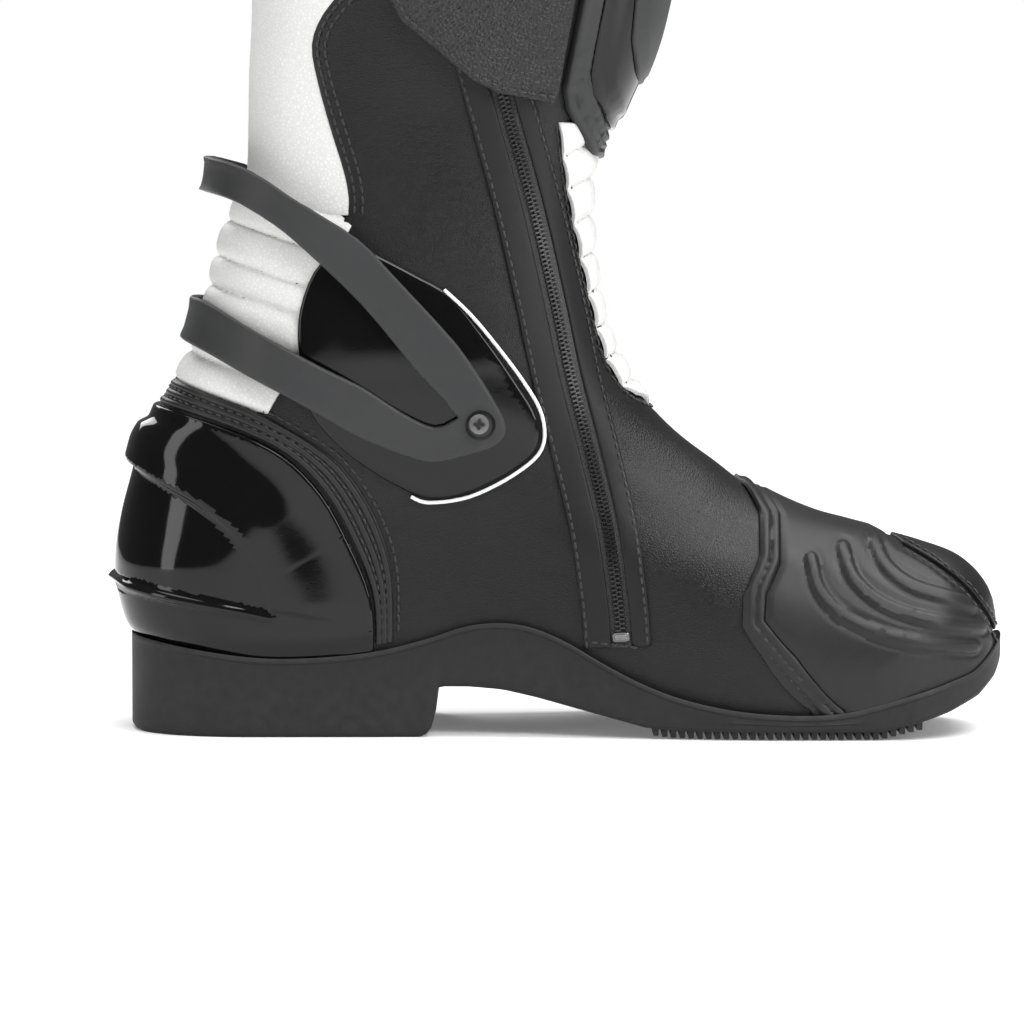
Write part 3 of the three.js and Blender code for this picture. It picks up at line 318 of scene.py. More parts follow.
def fill(loops, step, rim, features=()):
    """Triangles inside the first loop and outside the others, with rows of points near each edge."""
    points, edges = [], []
    for loop in loops:
        start = len(points)
        points += list(loop)
        edges += [(start + i, start + (i + 1) % len(loop)) for i in range(len(loop))]
    for line in features:
        start = len(points)
        points += list(line)
        edges += [(start + i, start + i + 1) for i in range(len(line) - 1)]
    fixed = np.array(points)
    low, high = fixed.min(0), fixed.max(0)
    grid = [(low[0] + (i + 0.5 * (j % 2)) * step, low[1] + j * step * 0.87)
            for j in range(int((high[1] - low[1]) / (step * 0.87)) + 2)
            for i in range(int((high[0] - low[0]) / step) + 2)]
    rows = [(np.array(grid), step * 0.55 + rim * 0.6)]
    for share in (0.15, 0.5, 1.0) if rim > 0 else ():
        for loop in loops:
            n = along(np.vstack([loop[-1:], loop, loop[:1]]))[1:-1][:, ::-1] * [1, -1]
            for sign in (-1, 1):
                rows.append((loop + n * sign * rim * share, rim * share * 0.9))
    extra = []
    for candidates, least in rows:
        keep = inside(candidates, loops[0])
        for hole in loops[1:]:
            keep &= ~inside(candidates, hole)
        candidates = candidates[keep]
        far = np.full(len(candidates), 1e9)
        for loop in loops:
            far = np.minimum(far, to_line(candidates, loop, closed=True))
        for line in features:
            far = np.minimum(far, to_line(candidates, line) + 0.35 * least)
        extra.append(candidates[far >= least * 0.98])
    everything = np.vstack([fixed, *extra])
    v, _, f, *_ = delaunay_2d_cdt([Vector(p) for p in everything], edges, [], 0, 1e-5)
    v = np.array([tuple(p) for p in v])
    f = np.array([tuple(t) for t in f if len(t) == 3])
    middle = v[f].mean(1)
    keep = inside(middle, loops[0])
    for hole in loops[1:]:
        keep &= ~inside(middle, hole)
    f = f[keep]
    a, b, c = v[f[:, 0]], v[f[:, 1]], v[f[:, 2]]
    area = (b[:, 0] - a[:, 0]) * (c[:, 1] - a[:, 1]) - (b[:, 1] - a[:, 1]) * (c[:, 0] - a[:, 0])
    f = f[np.abs(area) > 1e-6]
    area = area[np.abs(area) > 1e-6]
    f[area < 0] = f[area < 0][:, ::-1]
    used = np.unique(f)
    order = np.full(len(v), -1)
    order[used] = np.arange(len(used))
    return v[used], order[f]


def sheet_piece(name, loops, seam, material, top, thick, rim=0.6, step=2.6, features=(), edge_step=1.6,
                smooth=40, stretch=1.0):
    """A closed body over an outline of the pattern. top(place, far, pattern) is its height over the last.
    stretch makes the triangles even where the fan's sections lie far apart, as at the heel."""
    scale = np.array([1.0, stretch])
    loops = [resample(np.asarray(loop) * scale, edge_step, closed=True) for loop in loops]
    pattern, triangles = fill(loops, step, rim, [np.asarray(line) * scale for line in features])
    far = np.full(len(pattern), 1e9)
    for loop in loops:
        far = np.minimum(far, to_line(pattern, loop, closed=True))
    pattern = pattern / scale
    place, normal = last_frame(pattern, seam)
    height = top(place, far, pattern) if callable(top) else np.full(len(pattern), float(top))
    roll = rim * (1 - np.sqrt(np.clip(1 - (1 - np.clip(far / max(rim, 1e-6), 0, 1)) ** 2, 0, 1)))
    upper = place + normal * (height - np.minimum(roll, thick * 0.9))[:, None]
    lower = place + normal * (height - thick)[:, None]
    if seam == "back":
        triangles = triangles[:, ::-1]
    n = len(pattern)
    count = {}
    for t in triangles:
        for i in range(3):
            edge = (t[i], t[(i + 1) % 3])
            count[edge] = count.get(edge, 0) + 1
    walls = [(b, a, a + n, b + n) for (a, b) in count if (b, a) not in count]
    faces = [*triangles, *(triangles[:, ::-1] + n), *walls]
    return new_object(name, np.vstack([upper, lower]), faces, material, smooth)


def mirrored(chain, seam):
    """A closed loop from a chain of side-view points, the same on both sides of the boot."""
    chain = resample(chain, 1.2)
    inner = unroll(chain[:, 0], chain[:, 1], INNER, seam)
    outer = unroll(chain[:, 0], chain[:, 1], OUTER, seam)[::-1]
    return np.vstack([inner, outer])


def one_side(outline, side, seam="front"):
    """A side-view outline in the pattern, on one side of the boot."""
    outline = resample(outline, 1.2, closed=True)
    return unroll(outline[:, 0], outline[:, 1], side, seam)

# %% [markdown]
# ## Piping, beads and stitches
# A bead is a short section swept along a line on the last. A stitch is a small sausage of thread; a row of
# them is one mesh, each turned along the seam and pressed a little into the leather.

# %% Sweep a bead, sew a row
def on_last(outline, side, lift, seam="front", step=1.2, closed=False):
    """3-D points and normals along a side-view line laid on the last."""
    line = resample(outline, step, closed)
    place, normal = last_frame(unroll(line[:, 0], line[:, 1], side, seam), seam)
    lift = lift(place) if callable(lift) else lift
    return place + normal * np.reshape(lift, (-1, 1)), normal


def tube(points, normals, wide, high, closed=False, sides=10):
    """Vertices and faces of a bead of oval section along 3-D points; its ends are closed."""
    if closed:
        ring = np.vstack([points[-1:], points, points[:1]])
        t = along(ring)[1:-1]
    else:
        t = along(points)
    across = np.cross(t, normals)
    across /= np.maximum(np.linalg.norm(across, axis=1), 1e-9)[:, None]
    up = np.cross(across, t)
    n = len(points)
    wide = np.broadcast_to(wide, n)[:, None]
    high = np.broadcast_to(high, n)[:, None]
    rings = []
    for i in range(sides):
        a = 2 * math.pi * i / sides
        rings.append(points + across * wide * math.cos(a) + up * high * math.sin(a))
    v = np.stack(rings, 1).reshape(-1, 3)
    faces = []
    for r in range(n if closed else n - 1):
        q = (r + 1) % n
        faces += [(r * sides + i, r * sides + (i + 1) % sides, q * sides + (i + 1) % sides, q * sides + i)
                  for i in range(sides)]
    if not closed:
        faces += [tuple(range(sides))[::-1], tuple((n - 1) * sides + i for i in range(sides))]
    return v, faces


def join(parts):
    """Several meshes as one list of points and one of faces."""
    vertices, faces, start = [], [], 0
    for v, f in parts:
        vertices.append(v)
        faces += [tuple(i + start for i in face) for face in f]
        start += len(v)
    return np.vstack(vertices), faces


def bead(name, lines, material, wide, high, sides=10):
    """One object of several beads; each line is (points, normals)."""
    v, f = join([tube(p, n, wide, high, sides=sides) for p, n in lines])
    return new_object(name, v, f, material, 60)


def stitch_row(points, normals, pitch=3.3, length=2.3, wide=0.38, high=0.3):
    """Thread along 3-D points: one small sausage for each stitch."""
    gap = np.linalg.norm(np.diff(points, axis=0), axis=1)
    run = np.concatenate([[0], np.cumsum(gap)])
    parts = []
    for start in np.arange(pitch * 0.3, run[-1] - length, pitch):
        at = start + length * np.array([0, 0.14, 0.5, 0.86, 1])
        p = np.stack([np.interp(at, run, points[:, i]) for i in range(3)], 1)
        n = np.stack([np.interp(at, run, normals[:, i]) for i in range(3)], 1)
        n /= np.linalg.norm(n, axis=1)[:, None]
        sink = np.array([-0.3, 0.0, 0.12, 0.0, -0.3])[:, None]
        fat = np.array([0.35, 0.85, 1, 0.85, 0.35])
        parts.append(tube(p + n * sink, n, wide * fat, high * fat, sides=6))
    return parts


def sewing(name, rows, material):
    """One object of many rows of stitches."""
    parts = [part for row in rows for part in stitch_row(*row)]
    v, f = join(parts)
    print(name, len(parts), "stitches")
    return new_object(name, v, f, material, 80)


def beside(line, distance):
    """A side-view line moved sideways, to its left as it runs."""
    line = np.asarray(line, float)
    d = along(line)
    return line + np.stack([-d[:, 1], d[:, 0]], 1) * distance

# %% [markdown]
# ## Finishes
# Several pieces share the same effects, so each effect is a node group: a leather grain of small cells, a
# slow change of tone, dust that settles on faces that look up and low down, and edges that are rubbed a
# little. The groups give only values and colours; each material keeps its own shader. Patterns are laid out
# in object space, in metres, so a pebble of leather has its real size of about a millimetre.

# %% Node groups
def group(name, inputs, outputs):
    """A new node group with its sockets."""
    g = bpy.data.node_groups.new(name, "ShaderNodeTree")
    for kind, key, value in inputs:
        socket = g.interface.new_socket(name=key, in_out="INPUT", socket_type=kind)
        socket.default_value = value
    for kind, key in outputs:
        g.interface.new_socket(name=key, in_out="OUTPUT", socket_type=kind)
    return g, g.nodes.new("NodeGroupInput"), g.nodes.new("NodeGroupOutput")


def put(tree, kind, links=None, **values):
    """A node with its settings and incoming links."""
    node = tree.nodes.new(kind)
    for key, value in values.items():
        setattr(node, key, value)
    for key, source in (links or {}).items():
        socket = node.inputs[key]
        if isinstance(source, bpy.types.NodeSocket):
            tree.links.new(source, socket)
        else:
            socket.default_value = source
    return node


def calc(tree, operation, a, b=0.0, clamp=False):
    """One sum in the shader, and its result."""
    return put(tree, "ShaderNodeMath", {0: a, 1: b}, operation=operation, use_clamp=clamp).outputs[0]


def blend_colour(tree, share, a, b):
    """A mix of two colours by share; each is a colour or a socket."""
    node = put(tree, "ShaderNodeMix", {"Factor": share}, data_type="RGBA")
    for key, value in ((6, a), (7, b)):
        if isinstance(value, bpy.types.NodeSocket):
            tree.links.new(value, node.inputs[key])
        else:
            node.inputs[key].default_value = (*value, 1)
    return node.outputs[2]


def make_grain_group():
    """Cells of leather with creases between them, and a slow swell."""
    g, start, end = group("leather_grain", [("NodeSocketFloat", "Cells per metre", 900.0),
                                            ("NodeSocketFloat", "Crease", 0.5)],
                          [("NodeSocketFloat", "Height"), ("NodeSocketFloat", "Hollow")])
    place = put(g, "ShaderNodeTexCoord").outputs["Object"]
    bend = put(g, "ShaderNodeTexNoise", {"Vector": place, "Scale": 420.0, "Detail": 2.0})
    shift = put(g, "ShaderNodeVectorMath", {0: bend.outputs["Color"], 1: (0.0009, 0.0009, 0.0009)},
                operation="MULTIPLY").outputs[0]
    warped = put(g, "ShaderNodeVectorMath", {0: place, 1: shift}, operation="ADD").outputs[0]
    cells = put(g, "ShaderNodeTexVoronoi", {"Vector": warped, "Scale": start.outputs["Cells per metre"]},
                feature="DISTANCE_TO_EDGE").outputs["Distance"]
    valley = calc(g, "MULTIPLY", cells, 3.2, clamp=True)
    fine = put(g, "ShaderNodeTexNoise", {"Vector": place, "Scale": 2400.0, "Detail": 3.0}).outputs["Fac"]
    folds = put(g, "ShaderNodeTexNoise", {"Vector": place, "Scale": 55.0, "Detail": 3.0}).outputs["Fac"]
    deep = calc(g, "MULTIPLY", valley, start.outputs["Crease"])
    height = calc(g, "ADD", calc(g, "ADD", deep, calc(g, "MULTIPLY", fine, 0.25)),
                  calc(g, "MULTIPLY", folds, 1.1))
    g.links.new(height, end.inputs["Height"])
    g.links.new(calc(g, "SUBTRACT", 1.0, valley), end.inputs["Hollow"])
    return g


def make_tone_group():
    """A slow change of tone, as handling and light leave on a surface."""
    g, start, end = group("slow_tone", [("NodeSocketFloat", "Patches per metre", 40.0),
                                        ("NodeSocketFloat", "Strength", 0.2)], [("NodeSocketFloat", "Tone")])
    place = put(g, "ShaderNodeTexCoord").outputs["Object"]
    noise = put(g, "ShaderNodeTexNoise", {"Vector": place, "Scale": start.outputs["Patches per metre"],
                                          "Detail": 4.0, "Roughness": 0.6}).outputs["Fac"]
    centred = calc(g, "MULTIPLY", calc(g, "SUBTRACT", noise, 0.5), start.outputs["Strength"])
    g.links.new(centred, end.inputs["Tone"])
    return g


def make_dust_group():
    """A little dust: more on faces that look up, and close to the ground."""
    g, start, end = group("dust", [("NodeSocketFloat", "Amount", 0.15)], [("NodeSocketFloat", "Mask")])
    place = put(g, "ShaderNodeTexCoord").outputs["Object"]
    up = put(g, "ShaderNodeSeparateXYZ", {0: put(g, "ShaderNodeNewGeometry").outputs["Normal"]}).outputs[2]
    z = put(g, "ShaderNodeSeparateXYZ", {0: place}).outputs[2]
    low = put(g, "ShaderNodeMapRange", {"Value": z, "From Min": 0.0, "From Max": 0.05, "To Min": 1.0,
                                        "To Max": 0.25}).outputs[0]
    speckle = put(g, "ShaderNodeTexNoise", {"Vector": place, "Scale": 260.0, "Detail": 5.0}).outputs["Fac"]
    facing = calc(g, "MULTIPLY", calc(g, "ADD", up, 0.35, clamp=True), low)
    mask = calc(g, "MULTIPLY", calc(g, "MULTIPLY", facing, speckle), start.outputs["Amount"], clamp=True)
    g.links.new(mask, end.inputs["Mask"])
    return g


def make_wear_group():
    """Edges rubbed a little: strong where the surface turns sharply."""
    g, start, end = group("edge_wear", [("NodeSocketFloat", "Amount", 0.5)], [("NodeSocketFloat", "Mask")])
    sharp = put(g, "ShaderNodeNewGeometry").outputs["Pointiness"]
    edge = put(g, "ShaderNodeMapRange", {"Value": sharp, "From Min": 0.51, "From Max": 0.58}).outputs[0]
    place = put(g, "ShaderNodeTexCoord").outputs["Object"]
    patchy = put(g, "ShaderNodeTexNoise", {"Vector": place, "Scale": 180.0, "Detail": 4.0}).outputs["Fac"]
    mask = calc(g, "MULTIPLY", calc(g, "MULTIPLY", edge, patchy), start.outputs["Amount"], clamp=True)
    g.links.new(mask, end.inputs["Mask"])
    return g


GRAIN, TONE, DUST, WEAR = make_grain_group(), make_tone_group(), make_dust_group(), make_wear_group()
print("node groups:", [g.name for g in (GRAIN, TONE, DUST, WEAR)])

# %% [markdown]
# ## One material for each finish
# One function makes every finish from the same four groups. What differs is in its line: colour, roughness,
# size of the grain, depth of the bumps, gloss, and how much dust and wear lie on it.

# %% Materials
def use(tree, g, **values):
    """A node that uses a group, with its inputs set; _ stands for a space in their names."""
    node = tree.nodes.new("ShaderNodeGroup")
    node.node_tree = g
    for key, value in values.items():
        node.inputs[key.replace("_", " ")].default_value = value
    return node


def material(name, colour, rough, coat=0.0, coat_rough=0.1, metal=0.0, specular=0.5, cells=0.0, crease=0.5,
             bump=0.0, tone=0.2, dust=0.1, wear=0.2, worn=None, rough_swing=0.25, sheen=0.0, depth=0.0004):
    """A finish from the shared groups: grain, slow tone, dust and worn edges round one shader."""
    m = bpy.data.materials.new(name)
    m.use_nodes = True
    tree = m.node_tree
    shader = tree.nodes["Principled BSDF"]
    shader.inputs["Coat Weight"].default_value = coat
    shader.inputs["Coat Roughness"].default_value = coat_rough
    shader.inputs["Metallic"].default_value = metal
    shader.inputs["Specular IOR Level"].default_value = specular
    shader.inputs["Sheen Weight"].default_value = sheen
    patches = use(tree, TONE, Strength=tone)
    dusty = use(tree, DUST, Amount=dust)
    edges = use(tree, WEAR, Amount=wear)
    lighter = calc(tree, "ADD", patches.outputs["Tone"], 0.5)
    dark = tuple(c * 0.62 for c in colour)
    light = tuple(min(1.0, c * 1.38) for c in colour)
    base = blend_colour(tree, lighter, dark, light)
    if cells:
        grain = use(tree, GRAIN, Cells_per_metre=cells, Crease=crease)
        base = blend_colour(tree, calc(tree, "MULTIPLY", grain.outputs["Hollow"], 0.35), base, dark)
        height = grain.outputs["Height"]
    else:
        place = put(tree, "ShaderNodeTexCoord").outputs["Object"]
        height = put(tree, "ShaderNodeTexNoise", {"Vector": place, "Scale": 1500.0,
                                                  "Detail": 3.0}).outputs["Fac"]
    base = blend_colour(tree, edges.outputs["Mask"], base, worn or light)
    base = blend_colour(tree, dusty.outputs["Mask"], base, (0.35, 0.33, 0.30))
    tree.links.new(base, shader.inputs["Base Color"])
    swing = calc(tree, "MULTIPLY", patches.outputs["Tone"], rough_swing / max(tone, 0.01))
    rougher = calc(tree, "ADD", calc(tree, "ADD", swing, rough),
                   calc(tree, "MULTIPLY", dusty.outputs["Mask"], 0.4), clamp=True)
    tree.links.new(rougher, shader.inputs["Roughness"])
    if bump:
        relief = put(tree, "ShaderNodeBump", {"Height": height, "Strength": bump, "Distance": depth})
        tree.links.new(relief.outputs[0], shader.inputs["Normal"])
    MATERIALS[name] = m
    return m


material("smooth_black_leather", (0.0075, 0.0075, 0.008), 0.38, specular=0.26, cells=1100, crease=0.5,
         bump=0.35, dust=0.05, wear=0.25, worn=(0.06, 0.06, 0.06), rough_swing=0.15)
material("pebble_black_leather", (0.014, 0.014, 0.0145), 0.40, specular=0.3, cells=720, crease=1.0,
         bump=0.5, dust=0.05, wear=0.3, worn=(0.06, 0.06, 0.06), rough_swing=0.15, depth=0.0006)
material("white_leather", (0.63, 0.63, 0.62), 0.45, specular=0.3, cells=800, crease=0.35, bump=0.22,
         tone=0.06, dust=0.03, wear=0.0, rough_swing=0.1)
material("white_bead", (0.88, 0.88, 0.88), 0.3, tone=0.05, dust=0.02, wear=0.0, bump=0.03, rough_swing=0.08)
material("polished_cover", (0.0022, 0.0022, 0.0024), 0.07, coat=0.0, specular=0.28, coat_rough=0.03,
         bump=0.012, dust=0.03, wear=0.15, worn=(0.03, 0.03, 0.03), rough_swing=0.06)
material("matt_cover", (0.026, 0.0265, 0.0275), 0.48, specular=0.25, bump=0.1, dust=0.05, wear=0.35,
         worn=(0.07, 0.07, 0.07), rough_swing=0.12)
material("zip_facing", (0.010, 0.010, 0.0105), 0.45, specular=0.22, cells=1500, crease=0.3, bump=0.15,
         dust=0.03, wear=0.2, rough_swing=0.1)
material("pad_rubber", (0.013, 0.013, 0.0135), 0.42, specular=0.26, cells=1600, crease=0.25, bump=0.12,
         dust=0.06, wear=0.35, worn=(0.05, 0.05, 0.05))
material("sole_rubber", (0.012, 0.012, 0.0125), 0.55, specular=0.2, bump=0.18, dust=0.14, wear=0.3,
         worn=(0.05, 0.05, 0.05))
material("black_thread", (0.008, 0.008, 0.008), 0.6, bump=0.4, dust=0.02, wear=0.0, sheen=0.2, depth=0.0002)
material("zip_plastic", (0.006, 0.006, 0.007), 0.32, bump=0.03, dust=0.03, wear=0.3, worn=(0.05, 0.05, 0.05))
material("lining_cloth", (0.020, 0.020, 0.022), 0.9, cells=2200, crease=1.0, bump=0.6, dust=0.05, wear=0.0,
         sheen=0.3)
material("dark_steel", (0.05, 0.05, 0.052), 0.32, metal=1.0, bump=0.05, dust=0.02, wear=0.8,
         worn=(0.4, 0.4, 0.4), rough_swing=0.15)
material("bright_steel", (0.5, 0.5, 0.51), 0.35, metal=1.0, bump=0.05, dust=0.02, wear=0.2)
material("insole_board", (0.32, 0.2, 0.09), 0.85, bump=0.4, dust=0.0, wear=0.0)
print("finishes:", sorted(MATERIALS))

CAD_FINISH = {"outsole": "sole_rubber", "forefoot_tread": "sole_rubber", "insole_board": "insole_board",
              "steel_shank": "bright_steel", "slider_screw_rear": "dark_steel",
              "slider_screw_front": "dark_steel", "brace_screw_medial": "dark_steel",
              "brace_screw_lateral": "dark_steel", "pivot_nut_medial": "bright_steel",
              "pivot_nut_lateral": "bright_steel", "zip_slider": "dark_steel", "zip_pull": "dark_steel",
              "zip_stop_top": "dark_steel", "zip_stop_bottom": "dark_steel", "toe_puff": "matt_cover",
              "heel_stiffener": "matt_cover"}
for node, finish in CAD_FINISH.items():
    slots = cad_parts[node].data.materials
    slots.clear()
    slots.append(MATERIALS[finish])

# %% [markdown]
# ## The leather of foot and shaft
# The black leather is one sheet of the pattern that wraps the front: from the sole up both sides, round the
# instep, up to the top edge. It has a window over the instep for the white stretch panel. It crosses the
# ankle as one fixed piece, attached to neither foot nor shaft.

# %% Black leather
TOP = spline([[-60, 300], [-18, 301], [25, 307], [75, 319], [125, 329.5], [180, 334]], 4)


def across_ankle(piece):
    """Bakes the piece's placement into its mesh; it is attached to neither foot nor shaft."""
    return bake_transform(piece)


def top_height(x):
    """Height of the boot's top edge at x."""
    return np.interp(x, TOP[:, 0], TOP[:, 1])


stretch_front = spline([[-10, 108], [-4, 118], [2.5, 127], [4.6, 136], [6, 146], [11.7, 157], [18.4, 171]], 3)
white_edge = spline([[20.2, 173], [20.4, 179], [18.8, 187.6], [14.4, 201.7], [10.1, 217.1], [8.2, 229],
                     [12, 239], [22, 252], [29, 272], [32, 300], [32.5, 308]], 3)
front_edge = spline([[124, 112], [114, 118], [108, 129], [103.2, 147.4], [98.5, 168.5], [95.5, 185],
                     [93.2, 204]], 3)
top_run = np.array([[x, top_height(x)] for x in np.linspace(32.5, 128.9, 34)])
sole_run = np.array([[x, sole_height(x) - 2.5] for x in np.linspace(236.4, -44, 170)])
heel_run = np.array([[back_of(z) + 0.01, z] for z in np.linspace(31, 114, 24)])
collar_run = np.array([[-44, 116.5], [-39.9, 115.4], [-24, 110], [-12, 105.5]])


def leather_outline(side):
    """The black leather on one side, in the pattern, from the toe's sole edge round to the shin's top."""
    chain = np.vstack([sole_run, heel_run, collar_run, stretch_front, white_edge, top_run[1:]])
    return unroll(chain[:, 0], chain[:, 1], side, "front")


toe_gap = np.array([[0.0, leather_outline(INNER)[0][1]]])
leather_loop = np.vstack([toe_gap, leather_outline(INNER), [[0.0, leather_outline(INNER)[-1][1]]],
                          leather_outline(OUTER)[::-1]])
window = np.vstack([unroll(front_edge[:, 0], front_edge[:, 1], INNER, "front"),
                    unroll(front_edge[:, 0], front_edge[:, 1], OUTER, "front")[::-1]])


def leather_height(place, far, pattern):
    """Soft swells and shallow creases over the ankle."""
    x, y, z = place.T
    crease = np.sin((z + 0.35 * x) * 0.42 + 0.6 * np.sin(x * 0.11)) * np.exp(-((z - 112) / 34) ** 2)
    return 0.25 * crease * smoothstep(far, 2, 14) + 0.15 * np.sin(x * 0.09) * np.sin(z * 0.07)


leather = sheet_piece("black_leather", [leather_loop, window], "front", "smooth_black_leather",
                      leather_height, 1.6, rim=0.8, step=3.4)
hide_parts("foot_upper", "shaft_leather", "instep_gusset")
across_ankle(leather)


def toe_tip():
    """A small domed patch that closes the leather at the very tip of the toe."""
    s = np.linspace(-GIRTH, GIRTH, 48, endpoint=False)
    rings = [last_point(s, np.full(48, -QUARTER - d), "front") for d in (60.2, 61.2, 61.42)]
    centre = rings[-1].mean(0)
    rings += [centre + (rings[-1] - centre) * 0.5 + [0.12, 0, 0], ]
    v = np.vstack([*rings, [centre + [0.16, 0, 0]], [centre - [2.0, 0, 0]]])
    f = [(r * 48 + i, (r + 1) * 48 + i, (r + 1) * 48 + (i + 1) % 48, r * 48 + (i + 1) % 48)
         for r in range(3) for i in range(48)]
    f += [(3 * 48 + i, 4 * 48, 3 * 48 + (i + 1) % 48) for i in range(48)]
    f += [((i + 1) % 48, 4 * 48 + 1, i) for i in range(48)]
    return new_object("toe_tip_leather", v, f, "smooth_black_leather")


tip = toe_tip()
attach(tip, "foot")
print("black leather:", len(leather.data.vertices), "points")

# %% [markdown]
# ## The white panels
# White leather shows at the back of the calf. It is a sheet that wraps the back, and the black leather's
# edge lies over it. Its pattern is the same edge line, moved under the black by a few millimetres.

# %% White calf panel
under = beside(white_edge, -4)
back_top = np.array([[x, top_height(x)] for x in np.linspace(32, -16, 18)])
white_loop = mirrored(np.vstack([[[-18, 176.5]], [[5, 174]], under, back_top]), "back")
white_panel = sheet_piece("white_calf_panel", [white_loop], "back", "white_leather", -0.5, 1.2, rim=0.3,
                          step=3.4)
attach(white_panel, "shaft")
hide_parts("rear_white_panel")
print("white panel:", len(white_panel.data.vertices), "points")

# %% [markdown]
# ## Stretch panels
# Over the heel cord and over the instep the boot is white leather sewn into ribs, so it can open and fold
# like a bellows. Each rib is a pillow between two rows of stitches. The height over the last is a row of
# round arches, drawn along a tilted ruler so the ribs run as the real ones do.

# %% Ribbed white leather
def ribs(ruler, marks, rise):
    """Round pillows between the marks on a ruler."""
    marks = np.array(sorted(marks), float)
    i = np.clip(np.searchsorted(marks, ruler) - 1, 0, len(marks) - 2)
    half = (marks[i + 1] - marks[i]) / 2
    share = np.clip(np.abs(ruler - marks[i] - half) / half, 0, 1)
    return rise * np.sqrt(np.clip(1 - share ** 2.4, 0, 1))


HEEL_MARKS = [100, 111.5, 123, 135, 147.6, 158.2, 171, 184]
FRONT_MARKS = [100, 112, 124, 136, 149, 162, 175, 187.5, 199, 212]
heel_ruler = lambda p: p[:, 2] + 0.33 * (p[:, 0] + 20)
front_ruler = lambda p: p[:, 2] - 0.55 * (p[:, 0] - 104)


def heel_rib_height(place):
    """Pillows above the collar; the sheet sinks where the collar's piping lies over it."""
    clear = smoothstep(heel_ruler(place), 110.5, 113)
    return -1.3 + 0.7 * clear + clear * ribs(heel_ruler(place), HEEL_MARKS, 2.8)


stretch_under = beside(stretch_front, -3.5)
heel_stretch_loop = mirrored(np.vstack([[[-44, 113]], [[-24, 107.5]], [[-8, 104]], stretch_under, [[14, 177]],
                                        [[5, 178.5]], [[-17.5, 180]]]), "back")
heel_stretch = sheet_piece("heel_stretch_panel", [heel_stretch_loop], "back", "white_leather",
                           lambda place, far, pattern: heel_rib_height(place), 1.6, rim=0.3, step=1.1,
                           edge_step=1.2, smooth=70, stretch=1.9)
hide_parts("rear_accordion")
across_ankle(heel_stretch)

front_under = beside(front_edge, 3.5)
front_stretch_loop = np.vstack([unroll(front_under[:, 0], front_under[:, 1], INNER, "front"),
                                unroll(front_under[:, 0], front_under[:, 1], OUTER, "front")[::-1]])
front_stretch = sheet_piece("instep_stretch_panel", [front_stretch_loop], "front", "white_leather",
                            lambda place, far, pattern: -0.8 + ribs(front_ruler(place), FRONT_MARKS, 3.0),
                            1.6, rim=0.3, step=1.1)
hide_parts("front_accordion")
across_ankle(front_stretch)
print("ribs:", len(HEEL_MARKS) - 1, "at the heel,", len(FRONT_MARKS) - 1, "at the instep")

# %% [markdown]
# ## Sole
# A rubber sole with a heel block. It could be cut from a block with booleans, but a loft keeps clean rows
# of faces: at each step along the boot the section is a slab with rounded lower corners and a thin lip
# under the leather. The lower line drops at the heel's front face and lifts under the arch and the toe.

# %% Sole loft
BOTTOM = np.array([[-56, 3.0], [-52, 0.6], [-49, 0], [43.5, 0], [46, 1], [47.6, 3], [49.2, 9], [49.9, 16.4],
                   [52, 16.8], [60.2, 16.8], [71.2, 15.9], [82.1, 13.5], [98.5, 9.1], [118.3, 3.9],
                   [128, 2.9],
                   [137, 2.7], [196, 2.7], [209, 5.7], [219.4, 9], [229.6, 13.7], [235.8, 19.4], [239.5, 26],
                   [241, 31]])


def plan_outline(margin, height=34.0):
    """The upper's outline seen from above, moved out by a margin: the two sides as y over x."""
    sides = {}
    for side in (INNER, OUTER):
        z = np.full(160, height)
        x = back_of(z) + (front_of(z) - back_of(z)) * (1 - np.cos(np.linspace(0, math.pi, 160))) / 2
        y = side * half_width(x, z, side) + centre_shift(x)
        line = np.stack([x, y], 1)
        d = along(line)
        line = line + np.stack([-d[:, 1], d[:, 0]], 1) * side * margin
        sides[side] = line[np.argsort(line[:, 0])]
    return sides


def sole_stations():
    """Where the sole is cut across, and its two sides there."""
    plan = plan_outline(2.6)
    x0 = max(plan[INNER][0, 0], plan[OUTER][0, 0]) + 0.02
    x1 = min(plan[INNER][-1, 0], plan[OUTER][-1, 0]) - 0.02
    even = x0 + (x1 - x0) * (1 - np.cos(np.linspace(0, math.pi, 150))) / 2
    x = np.unique(np.concatenate([even, BOTTOM[(BOTTOM[:, 0] > 40) & (BOTTOM[:, 0] < 60), 0]]))
    left = np.interp(x, plan[INNER][:, 0], plan[INNER][:, 1])
    right = np.interp(x, plan[OUTER][:, 0], plan[OUTER][:, 1])
    return x, left, right


def sole_section(x, left, right):
    """The sole cut across at x: both sides with a raised lip, underside and top."""
    top = float(sole_height(x)) + 1.2 + 1.5 * float(1 - smoothstep(x, -52, -5))
    top += 3.2 * float(smoothstep(x, 226, 238.5))
    low = float(np.interp(x, BOTTOM[:, 0], BOTTOM[:, 1]))
    tall, wide = top - low, right - left
    r = min(1.6, tall * 0.3, wide * 0.25)
    half = [(0.0, top), (0.25, top), (0.55, top - 0.5), (0.55, top - 1.5), (0.1, top - 2.0), (0.0, top - 2.4),
            (0.2, low + tall * 0.45), (-0.3, low + r * 1.6)]
    half += [(-0.3 - r * (1 - math.cos(a)), low + r * (1 - math.sin(a)))
             for a in np.linspace(0, math.pi / 2, 5)]
    out = [(x, right + o * min(1, wide / 20), z) for o, z in half]
    under = [(x, right + (left - right) * t, low) for t in (0.25, 0.5, 0.75)]
    back = [(x, left - o * min(1, wide / 20), z) for o, z in half[::-1]]
    over = [(x, left + (right - left) * t, top - 0.9 * min(1, wide / 20)) for t in (0.08, 0.35, 0.65, 0.92)]
    return out + under + back + over


